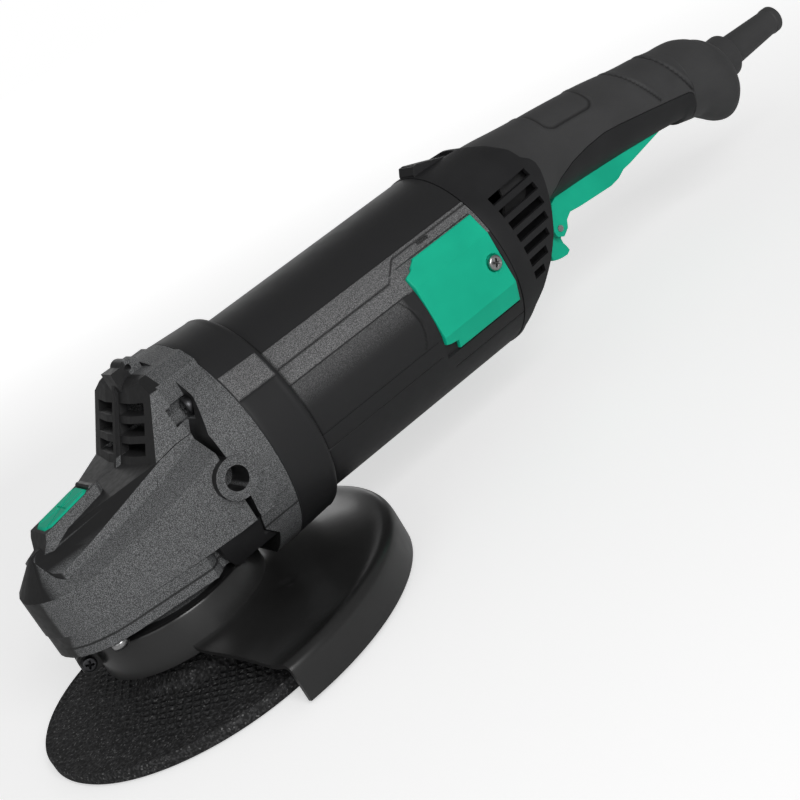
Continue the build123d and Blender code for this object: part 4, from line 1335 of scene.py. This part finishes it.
# ------------------------------------------------------------------ guard
@dataclass
class Guard:
    """The pressed guard above the wheel, and the slit collar that clamps it."""

    outline_r: tuple[float, ...] = (44.6, 47.0, 52.0, 60.0, 70.0, 80.0, 88.0, 94.0, 98.5, 101.5, 104.0,
                                    106.2, 108.0, 109.2, 109.8, 110.0, 110.0, 110.0)
    outline_z: tuple[float, ...] = (27.5, 25.4, 24.6, 24.2, 23.5, 22.4, 21.0, 19.8, 19.4, 19.8, 20.4,
                                    20.5, 19.7, 18.2, 16.2, 13.5, 7.0, 1.0)
    sheet: float = 2.0
    front_inner: Span = (-17.0, 40.0)
    front_outer: Span = (-5.5, 108.0)
    dent: Point = (34.2, -48.1, 3.2)
    dent_depth: float = 1.1
    collar: Span = (42.0, 45.0)
    collar_z: Span = (22.5, 42.5)
    collar_edge: tuple[Span, ...] = ((0.0, 1.2), (0.4, 0.3), (1.2, 0.0))
    collar_gap: float = 2.0
    collar_spokes: int = 200
    spokes: int = 260
    lug_turn: float = 168.0
    lug_at: Span = (49.0, 35.0)
    lug_half: Span = (5.3, 4.9)
    lug_depths: tuple[float, ...] = (1.5, 1.5, 1.9, 6.0, 6.45, 6.45)
    lug_shares: tuple[float, ...] = (0.92, 0.96, 1.0, 1.0, 0.96, 0.92)

    def front_edge(self, radius: np.ndarray) -> np.ndarray:
        """Find where the guard ends.

        The end is the straight line through its inner and outer points, met by a circle of each
        radius: the larger root of a quadratic in Y.

        Args:
            radius: the radii.

        Returns:
            The angle at each radius, in radians.
        """
        (inner_x, inner_y), (outer_x, outer_y) = self.front_inner, self.front_outer
        slope = (outer_x - inner_x) / (outer_y - inner_y)
        start = inner_x - slope * inner_y
        a, b, c = 1.0 + slope**2, slope * start, start**2 - radius**2
        y = (-b + np.sqrt(b * b - a * c)) / a
        return np.arctan2(y, start + slope * y)

    def section(self) -> tuple[np.ndarray, np.ndarray]:
        """Work out the sheet's section.

        The upper line falls from the collar to a valley, rises to a rolled ridge at the rim and turns
        down into the skirt, and is averaged with its neighbours until it is round. The lower line is
        the same line moved square to itself by the sheet's thickness.

        Returns:
            The radii and the heights, out along the top and back along the underside.
        """
        corners = np.arange(len(self.outline_r))
        steps = np.linspace(0, corners[-1], 74)
        radius = np.interp(steps, corners, self.outline_r)
        height = np.interp(steps, corners, self.outline_z)
        for _ in range(6):
            for line in (radius, height):
                line[1:-1] = np.convolve(line, (0.25, 0.5, 0.25), "valid")
        way_r, way_z = np.gradient(radius), np.gradient(height)
        length = np.hypot(way_r, way_z)
        under_r = radius + self.sheet * way_z / length
        under_z = height - self.sheet * way_r / length
        under_z[-1] = height[-1]
        return np.concatenate([radius, under_r[::-1]]), np.concatenate([height, under_z[::-1]])

    def pressing(self, palette: Palette) -> None:
        """Build the plate and skirt: the section carried round from edge to edge, with one dent.

        Args:
            palette: the finishes.
        """
        radius, height = self.section()
        turn = np.linspace(-1.0, 1.0, self.spokes)[:, None] * self.front_edge(radius)
        grid = np.stack([radius * np.cos(turn), radius * np.sin(turn), height + 0.0 * turn], -1)
        dent_x, dent_y, dent_width = self.dent
        away = np.hypot(grid[..., 0] - dent_x, grid[..., 1] - dent_y)
        grid[..., 2] -= self.dent_depth * hump(away, dent_width)
        Surface("guard_pressing", grid, sharp_degrees=40.0).build(Body.GUARD, Slot.GUARD, palette, "guard")

    def clamp_ring(self, palette: Palette) -> None:
        """Build the collar: a short wall round the spindle, rounded on top and slit in front.

        Args:
            palette: the finishes.
        """
        inner, outer = self.collar
        low, high = self.collar_z
        edge = [(outer - inward, high - down) for inward, down in self.collar_edge]
        radius, height = np.array([(inner, low), (outer, low), *edge, (inner, high)]).T
        start = self.lug_turn + self.collar_gap
        end = start + 360.0 - 2.0 * self.collar_gap
        turn = np.radians(np.linspace(start, end, self.collar_spokes))[:, None]
        grid = np.stack([radius * np.cos(turn), radius * np.sin(turn), height + 0.0 * turn], -1)
        Surface("guard_clamp_ring", grid).build(Body.GUARD, Slot.GUARD, palette)

    def lugs(self, palette: Palette) -> None:
        """Build the two lugs that close the collar.

        Their outline is a superellipse: the square roots of a circle's cosine and sine. It is smaller
        at both ends of the lug, and the whole lug is turned about the spindle.

        Args:
            palette: the finishes.
        """
        angle = full_turn(48)
        across = np.sign(np.cos(angle)) * np.abs(np.cos(angle)) ** 0.5
        rise = np.sign(np.sin(angle)) * np.abs(np.sin(angle)) ** 0.5
        share = np.array(self.lug_shares)[:, None]
        radius = self.lug_at[0] + self.lug_half[0] * across * share
        height = self.lug_at[1] + self.lug_half[1] * rise * share
        c, s = np.cos(np.radians(self.lug_turn)), np.sin(np.radians(self.lug_turn))
        for name, side in (("left", 1.0), ("right", -1.0)):
            depth = side * np.array(self.lug_depths)[:, None]
            lug = np.stack([radius * c - depth * s, radius * s + depth * c, height], -1)
            Surface(f"guard_lug_{name}", lug).build(Body.GUARD, Slot.GUARD, palette)

    def build(self, palette: Palette) -> None:
        """Build the pressing, the collar and its lugs.

        Args:
            palette: the finishes.
        """
        self.pressing(palette)
        self.clamp_ring(palette)
        self.lugs(palette)


# ------------------------------------------------------------------ rear handle
@dataclass
class RearHandle:
    """The two hard half shells and the soft grip moulded over them.

    Every cross-section is an ellipse. Its centre height, half height and half width are read at each
    X from the values below by a smooth monotone curve through them.
    """

    span: Span = (247.0, 431.6)
    skin: float = 1.6
    wall: float = 2.6
    slot_half: float = 11.0
    slot_span: Span = (275.0, 388.0)
    shell_span: Span = (281.0, 395.5)
    places: tuple[float, ...] = (246, 272, 290, 312, 342, 372, 385, 396, 405, 412, 418, 423.5, 427.5,
                                 430.5, 432)
    centres: tuple[float, ...] = (106, 101.5, 99.3, 97.2, 93.8, 89.4, 87.6, 85.2, 83.6, 80.2, 76.6,
                                  74.4, 74.4, 75.6, 77.4)
    half_heights: tuple[float, ...] = (22, 24.2, 24, 23.8, 23.2, 22.3, 22.4, 22.6, 23.2, 25.2, 26.2,
                                       25, 22.2, 17.6, 14)
    half_widths: tuple[float, ...] = (31, 27, 23.5, 21.8, 21, 20.6, 20.5, 20.8, 21.4, 22.2, 22.6,
                                      22.2, 20.6, 17, 13.8)
    seam_x: tuple[float, ...] = (281, 284, 290, 301, 314, 328, 340, 370, 392, 394.6, 395.5)
    seam_z: tuple[float, ...] = (78, 82.5, 87, 90.7, 92.4, 92.8, 91, 85.3, 80.8, 78.5, 72.0)
    closed: float = -89.95
    open_from: float = -89.0
    degree_length: float = 0.38
    grip_rows: int = 150
    shell_rows: tuple[int, int] = (26, 30)
    shell_inset: Span = (3.0, 0.8)
    flush_depth: float = 0.05
    under_grip: float = 0.15
    seam_gap: float = 0.4
    ledge: float = 0.5
    shell_bottom: float = -89.6
    cross_grooves: tuple[Point, ...] = ((358.0, 370.5, 99.0), (384.0, 393.0, 104.0))
    cross_cut: Span = (1.9, 0.85)
    cross_lip: Point = (2.4, 1.3, 0.28)
    slant: float = 1.6
    mean_radius: float = 22.0
    pad_x: float = 315.5
    pad_half: Span = (17.5, 22.0)
    pad_corner: float = 6.0
    pad_depth: float = 0.35
    pad_cut: Span = (1.7, 0.7)
    pad_lip: Point = (1.9, 1.1, 0.2)
    shade_and_dirt_from: float = 0.35
    shade_and_dirt_depth: float = 0.3
    lip_radius: float = 0.7
    lip_depth: float = 0.5

    def curve(self, x: np.ndarray, values: tuple[float, ...]) -> np.ndarray:
        """Read a monotone cubic curve through the values.

        Each slope is the harmonic mean of the slopes on its two sides, or 0 where they differ in sign,
        and the pieces between are the usual cubic of two values and two slopes.

        Args:
            x: where to read it.
            values: its value at each of the places.

        Returns:
            Its value at each x.
        """
        xs, ys = np.array(self.places, float), np.array(values, float)
        steps = np.diff(xs)
        slopes = np.diff(ys) / steps
        product = slopes[:-1] * slopes[1:]
        total = np.where(np.abs(slopes[:-1] + slopes[1:]) < 1e-9, 1.0, slopes[:-1] + slopes[1:])
        inner = np.where(product > 0, 2.0 * product / total, 0.0)
        ends = np.concatenate([slopes[:1], inner, slopes[-1:]])
        k = np.clip(np.searchsorted(xs, x) - 1, 0, len(steps) - 1)
        t = (x - xs[k]) / steps[k]
        return ((2 * t**3 - 3 * t**2 + 1) * ys[k] + (t**3 - 2 * t**2 + t) * steps[k] * ends[k]
                + (3 * t**2 - 2 * t**3) * ys[k + 1] + (t**3 - t**2) * steps[k] * ends[k + 1])

    def skin_points(self, x: np.ndarray, angle: np.ndarray, inset: np.ndarray | float) -> np.ndarray:
        """Find points of the sections' ellipses.

        Args:
            x: the sections.
            angle: how far round each point lies, in degrees above the left side.
            inset: how far inside the ellipse it lies.

        Returns:
            The points.
        """
        a = np.radians(angle)
        half_width = self.curve(x, self.half_widths) - inset
        half_height = self.curve(x, self.half_heights) - inset
        z = self.curve(x, self.centres) + half_height * np.sin(a)
        return np.stack([x, -half_width * np.cos(a), z], -1)

    def slot_angle(self, x: np.ndarray) -> np.ndarray:
        """Return the angle of the switch slot's edge: minus the arc cosine of its share of the width."""
        return -np.degrees(np.arccos(np.clip(self.slot_half / self.curve(x, self.half_widths), -1.0, 1.0)))

    def seam_angle(self, x: np.ndarray) -> np.ndarray:
        """Find the line between the soft grip and the hard shell, on the left side.

        Ahead of the shell the grip runs on underneath, to the switch slot or to the middle of the
        bottom. Behind it, the grip closes right round.

        Args:
            x: the sections.

        Returns:
            The seam's angle at each, in degrees.
        """
        z = np.interp(x, self.seam_x, self.seam_z)
        sine = np.clip((z - self.curve(x, self.centres)) / self.curve(x, self.half_heights), -1.0, 1.0)
        slot = self.slot_angle(x)
        ahead = np.where(x < self.slot_span[0], self.closed, slot)
        beside = np.maximum(np.degrees(np.arcsin(sine)), slot)
        first, last = self.shell_span
        return np.where(x < first, ahead, np.where(x > last, self.closed, beside))

    def relief(self, x: np.ndarray, angle: np.ndarray) -> np.ndarray:
        """Work out the grip's surface height.

        Two slanting grooves cross the top and run down both sides, with a low lip behind each. A
        rounded rectangle outlines the thumb pad on top, which is sunk a little, with a low lip round it.

        Args:
            x: the sections.
            angle: how far round each point lies, in degrees above the left side.

        Returns:
            The height, below zero in a groove.
        """
        from_top = np.abs(angle - 90.0)
        height = np.zeros_like(x)
        lip_at, lip_width, lip_height = self.cross_lip
        for top_x, side_x, reach in self.cross_grooves:
            behind = x - (top_x + (side_x - top_x) * (from_top / 90.0) ** self.slant)
            live = 1.0 - smooth_step(from_top, reach - 3.0, reach)
            lip = lip_height * hump(behind - lip_at, lip_width)
            height += (groove(behind, *self.cross_cut) + lip) * live
        arc = DEGREE * self.mean_radius
        pad = rounded_box_distance(x - self.pad_x, from_top * arc, self.pad_half, self.pad_corner)
        height += groove(pad, *self.pad_cut) - self.pad_depth * (1.0 - smooth_step(pad, -1.2, 0.0))
        lip_at, lip_width, lip_height = self.pad_lip
        return height + lip_height * hump(pad - lip_at, lip_width)

    def grip(self, palette: Palette) -> None:
        """Build the soft grip: an outer and an inner sheet from seam to seam over the top.

        The outer one drops round at the seams, where the hard shell shows below.

        Args:
            palette: the finishes.
        """
        x = stops(self.span, 0.95, (self.slot_span[0], *self.shell_span, self.seam_x[-2]), 0.25, 0.5)
        share = np.linspace(0.0, 1.0, self.grip_rows)
        seam = self.seam_angle(x)[:, None]
        open_arc = 180.0 - 2.0 * seam
        angle = seam + open_arc * share
        along = x[:, None] + 0.0 * angle
        from_seam = np.minimum(share, 1.0 - share) * open_arc * self.degree_length
        drop = rounded_edge(from_seam, self.lip_radius, self.lip_depth)
        lip = np.where(seam > self.open_from, drop, 0.0)
        relief = self.relief(along, angle)
        outer = self.skin_points(along, angle, lip - relief)
        inner = self.skin_points(along, angle, self.skin)
        # The line mask, from the groove depth, darkens the grooves and the pad outline as painted shade
        # with some dirt.
        shade_and_dirt = np.clip((-relief - self.shade_and_dirt_from) / self.shade_and_dirt_depth, 0.0, 1.0)
        masks = {Mask.LINE: outer_only(shade_and_dirt)}
        Surface("soft_grip", lined(outer, inner), masks=masks, sharp_degrees=45.0).build(
            Body.HANDLE, Slot.GRIP, palette, "handle_grip")

    def shells(self, palette: Palette) -> None:
        """Build the two hard half shells: flush below the seam, and stepped in under the grip.

        Each section runs up from the switch slot or the bottom to the seam, and on to the top.

        Args:
            palette: the finishes.
        """
        span = (self.span[0] + self.shell_inset[0], self.span[1] - self.shell_inset[1])
        x = stops(span, 1.6, self.shell_span, 0.4, 0.8)
        below_count, above_count = self.shell_rows
        slotted = (x > self.slot_span[0]) & (x < self.slot_span[1])
        low = np.where(slotted, self.slot_angle(x), self.shell_bottom)
        bare = (x > self.shell_span[0]) & (x < self.shell_span[1])
        least = low + self.ledge
        top = np.where(bare, np.maximum(self.seam_angle(x) - self.seam_gap, least), least)
        low, top = low[:, None], top[:, None]
        below = low + (top - low) * np.linspace(0.0, 1.0, below_count)
        start = top + self.ledge
        above = start + (-self.shell_bottom - start) * np.linspace(0.0, 1.0, above_count)
        angle = np.concatenate([below, above], 1)
        along = x[:, None] + 0.0 * angle
        flush = (np.arange(below_count + above_count) < below_count) & bare[:, None]
        depth = np.where(flush, self.flush_depth, self.skin + self.under_grip)
        outer = self.skin_points(along, angle, depth)
        inner = self.skin_points(along, angle, self.skin + self.wall)
        for name, grid in both_sides(lined(outer, inner)):
            Surface(f"handle_shell_{name}", grid, sharp_degrees=35.0).build(
                Body.HANDLE, Slot.DARK, palette, f"handle_{name}")

    def build(self, palette: Palette) -> None:
        """Build the shells and the grip."""
        self.shells(palette)
        self.grip(palette)


# ------------------------------------------------------------------ boss faces
@dataclass
class BossFaces:
    """The machined end faces of the side-handle bosses, scored with slanting lines."""

    at: Span = (38.0, 82.0)
    hole: float = 6.1
    edge: float = 9.9
    face_y: float = 58.1
    pitch: float = 1.5
    depth: float = 0.14
    proud: float = 0.1
    steepness: float = 1.6
    cut_off: Span = (-1.0, 0.6)
    thickness: float = 0.4
    rings: int = 22
    spokes: int = 240

    def build(self, palette: Palette) -> None:
        """Build one thin scored ring on each boss.

        The ring's height is a saw of lines 45 degrees to the axis: the sine of the distance across
        them, steepened and cut off at the top.

        Args:
            palette: the finishes.
        """
        radius = np.linspace(self.hole, self.edge, self.rings)
        turn = full_turn(self.spokes)[:, None]
        x = self.at[0] + radius * np.cos(turn)
        z = self.at[1] + radius * np.sin(turn)
        lines = np.sin((x + z) / np.sqrt(2.0) * FULL_TURN / self.pitch)
        top = self.face_y + self.proud
        front = top + self.depth * np.clip(lines * self.steepness, *self.cut_off)
        back = top - self.thickness + 0.0 * x
        for name, side in (("left", -1.0), ("right", 1.0)):
            outer, inner = (np.stack([x, side * y, z], -1) for y in (front, back))
            Surface(f"boss_face_{name}", lined(outer, inner), closed_rows=True, sharp_degrees=60.0).build(
                Body.HOUSING, Slot.CAST, palette)


# ------------------------------------------------------------------ screws
@dataclass(frozen=True)
class ScrewSize:
    """One size of cross-head screw."""

    head: float
    height: float
    shank: float
    length: float
    cross: float


@dataclass(frozen=True)
class Seat:
    """Where one screw sits: the middle of its head's underside, and the way that it looks."""

    at: Point
    facing: Point


@dataclass
class Screws:
    """Every visible cross-head screw, with a domed head and a tapered cross in it."""

    rings: int = 26
    spokes: int = 96
    middle: float = 0.02
    tip_chamfer: Span = (0.3, 0.4)
    arm: Span = (0.16, 0.26)
    taper: float = 3.0
    cross_depth: float = 0.5
    brush: ScrewSize = ScrewSize(head=3.9, height=2.1, shank=1.5, length=8.0, cross=2.5)
    flange: ScrewSize = ScrewSize(head=4.6, height=4.0, shank=2.5, length=32.0, cross=2.7)
    cover: ScrewSize = ScrewSize(head=4.2, height=3.6, shank=2.4, length=13.0, cross=2.5)
    clamp: ScrewSize = ScrewSize(head=3.7, height=3.2, shank=2.55, length=15.0, cross=2.2)
    brush_at: Point = (211.5, 51.3, 84.1)
    flange_x: float = 46.5
    flange_ring: float = 49.0
    cover_at: tuple[Span, ...] = ((-40, 29), (24, 33))
    cover_z: float = 47.0
    clamp_at: Point = (-50.0, -6.5, 35.0)
    clamp_turn: float = -12.0
    dome: float = 0.02
    face_share: float = 0.74
    edge_heights: tuple[float, ...] = (0.0, 0.08, 0.62, 0.80, 0.92, 0.98)
    edge_radii: tuple[float, ...] = (0.96, 1.0, 1.0, 0.95, 0.86, 0.76)
    first_twist: float = 20.0
    next_twist: float = 25.0

    def profile(self, size: ScrewSize) -> tuple[np.ndarray, np.ndarray]:
        """Work out one screw's outline: a chamfered shank, the head's round edge, and its domed face.

        Args:
            size: the screw's size.

        Returns:
            The radii and the heights above the head's underside, from the tip to the head's middle.
        """
        face = np.linspace(self.face_share, self.middle, self.rings) * size.head
        dome = size.height * (1.0 - self.dome * (face / size.head / self.face_share) ** 2)
        inward, upward = self.tip_chamfer
        shank_r = [size.shank - inward, size.shank, size.shank]
        shank_z = [-size.length, upward - size.length, 0.0]
        radius = np.concatenate([shank_r, size.head * np.array(self.edge_radii), face])
        height = np.concatenate([shank_z, size.height * np.array(self.edge_heights), dome])
        return radius, height

    def screw(self, size: ScrewSize, seat: Seat, twist: float) -> tuple[np.ndarray, np.ndarray]:
        """Build the grid of one screw.

        The cross is sunk where the smaller of the two in-plane coordinates is under its arm's half
        width, and tapers from full depth in the middle to nothing at its ends.

        Args:
            size: the screw's size.
            seat: where it sits.
            twist: how far the cross is turned, in degrees.

        Returns:
            The points, one ring a row, and how deep each one lies in the cross, from 0 to 1.
        """
        radius, height = self.profile(size)
        turn = full_turn(self.spokes)
        u, v = radius[:, None] * np.cos(turn), radius[:, None] * np.sin(turn)
        small = np.minimum(np.abs(u), np.abs(v))
        reach = np.clip(1.0 - np.hypot(u, v) / size.cross, 0.0, 1.0)
        on_face = (height > 0.5 * size.height) & (radius <= self.face_share * size.head + 1e-9)
        arm = 1.0 - smooth_step(small / size.cross, *self.arm)
        cross = on_face[:, None] * arm * np.minimum(reach * self.taper, 1.0)
        w = height[:, None] - cross * self.cross_depth * size.height
        out = Vector(seat.facing).normalized()
        first = out.orthogonal().normalized()
        second = out.cross(first)
        c, s = np.cos(np.radians(twist)), np.sin(np.radians(twist))
        a, b = u * c - v * s, u * s + v * c
        points = (np.array(seat.at) + a[..., None] * np.array(first) + b[..., None] * np.array(second)
                  + w[..., None] * np.array(out))
        return points, cross

    def seats(self) -> dict[str, list[Seat]]:
        """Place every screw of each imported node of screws.

        Returns:
            The seats, by node.
        """
        brush_x, brush_y, brush_z = self.brush_at
        ring = self.flange_ring / np.sqrt(2.0)
        sides = (-1, 1)
        return {
            "brush_cover_screws": [Seat((brush_x, side * brush_y, brush_z), (0, side, 0))
                                   for side in sides],
            "flange_screws": [Seat((self.flange_x, side * ring, AXIS_Z + up * ring), (-1, 0, 0))
                              for side in sides for up in sides],
            "gear_cover_screws": [Seat((x, side * y, self.cover_z), (0, 0, -1))
                                  for side in sides for x, y in self.cover_at],
        }

    def clamp_seat(self) -> Seat:
        """Work out the clamp screw's seat: its place in the clamp's own axes, turned about the spindle.

        Returns:
            The seat.
        """
        c, s = np.cos(np.radians(self.clamp_turn)), np.sin(np.radians(self.clamp_turn))
        x, y, z = self.clamp_at
        return Seat((x * c - y * s, x * s + y * c, z), (s, -c, 0.0))

    def build(self, palette: Palette) -> None:
        """Build the brush cover, flange, gear cover and guard clamp screws.

        Args:
            palette: the finishes.
        """
        kinds = {"brush_cover_screws": (self.brush, Slot.ZINC),
                 "flange_screws": (self.flange, Slot.DARK_STEEL),
                 "gear_cover_screws": (self.cover, Slot.ZINC)}
        for node, seats in self.seats().items():
            size, slot = kinds[node]
            for count, seat in enumerate(seats):
                # The cross mask darkens each cross recess: painted shade.
                points, cross = self.screw(size, seat, self.first_twist + self.next_twist * count)
                stand_in = (node,) if count == 0 else ()
                Surface(f"{node}_{count}", points, sharp_degrees=32.0, masks={Mask.LINE: cross}).build(
                    Body.HOUSING, slot, palette, *stand_in)
        points, cross = self.screw(self.clamp, self.clamp_seat(), self.first_twist)
        Surface("guard_clamp_screw_body", points, sharp_degrees=32.0, masks={Mask.LINE: cross}).build(
            Body.GUARD, Slot.DARK_STEEL, palette, "guard_clamp_screw")


# ------------------------------------------------------------------ softened pieces
@dataclass(frozen=True)
class Softened:
    """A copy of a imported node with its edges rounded, which stands in the node's place."""

    node: str
    rounding: float
    slot: Slot
    sharp_degrees: float = 30.0
    flat_degrees: float = 0.8
    merge_m: float = 1e-6
    gear_space: float = 38.8

    def weigh(self, shape: bmesh.types.BMesh) -> None:
        """Mark the edges to round.

        They are those where two faces meet at more than the sharp angle, apart from the edges round
        the gears' space, which have to stay clear of the gears.

        Args:
            shape: the mesh, whose edges are given a weight of 1 or 0.
        """
        weight = shape.edges.layers.float.new("bevel_weight_edge")
        for edge in shape.edges:
            middle = (edge.verts[0].co + edge.verts[1].co) / 2.0
            round_gears = middle.xy.length < self.gear_space * MM and middle.z < AXIS_Z * MM
            bent = len(edge.link_faces) == 2 and edge.calc_face_angle() > self.sharp_degrees * DEGREE
            edge[weight] = float(bent and not round_gears)

    def build(self, palette: Palette) -> None:
        """Build the copy.

        Its loose triangles are merged, its flat faces are joined up, and a bevel rounds the marked
        edges.

        Args:
            palette: the finishes.
        """
        source = frame["nodes"][self.node]
        mesh = source.data.copy()
        shape = bmesh.new()
        shape.from_mesh(mesh)
        bmesh.ops.remove_doubles(shape, verts=shape.verts, dist=self.merge_m)
        bmesh.ops.dissolve_degenerate(shape, edges=shape.edges, dist=self.merge_m)
        bmesh.ops.dissolve_limit(shape, angle_limit=self.flat_degrees * DEGREE, verts=shape.verts,
                                 edges=shape.edges)
        self.weigh(shape)
        shape.to_mesh(mesh)
        shape.free()
        mesh.shade_smooth()
        mesh.set_sharp_from_angle(angle=self.sharp_degrees * DEGREE)
        piece = bpy.data.objects.new(f"{self.node}_body", mesh)
        bevel = piece.modifiers.new("rounding", "BEVEL")
        bevel.width = self.rounding * MM
        bevel.segments = 3
        bevel.limit_method = "WEIGHT"
        bevel.harden_normals = True
        bevel.use_clamp_overlap = True
        palette.hang(piece, source["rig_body"], self.slot, (self.node,))
        LOG.info("%s_body: rounded by %.2f mm", self.node, self.rounding)


SOFTENED = (
    Softened("gear_housing", 1.2, Slot.CAST),
    Softened("lock_button", 0.35, Slot.GREEN),
    Softened("rear_cover", 0.7, Slot.DARK),
    Softened("switch_lever", 0.6, Slot.GREEN),
    Softened("lock_off_lever", 0.5, Slot.GREEN),
    Softened("handle_latch", 0.5, Slot.DARK),
    Softened("exhaust_deflectors", 0.6, Slot.DARK),
    Softened("gear_cover", 0.5, Slot.CAST),
    Softened("rear_ring", 0.4, Slot.GRIP),
    Softened("cord_guard", 0.3, Slot.GRIP),
)


def main() -> None:
    """Build the studio, then every sub-assembly in order."""
    logging.basicConfig(level=logging.INFO, format="%(name)s: %(message)s")
    palette = Palette()
    palette.dress_frame()
    Studio().build()
    for assembly in (*SOFTENED, FrontCollar(), MotorHousing(), BrushCovers(), Wheel(), Guard(),
                     RearHandle(), BossFaces(), Screws()):
        assembly.build(palette)


if __name__ == "__main__":
    main()
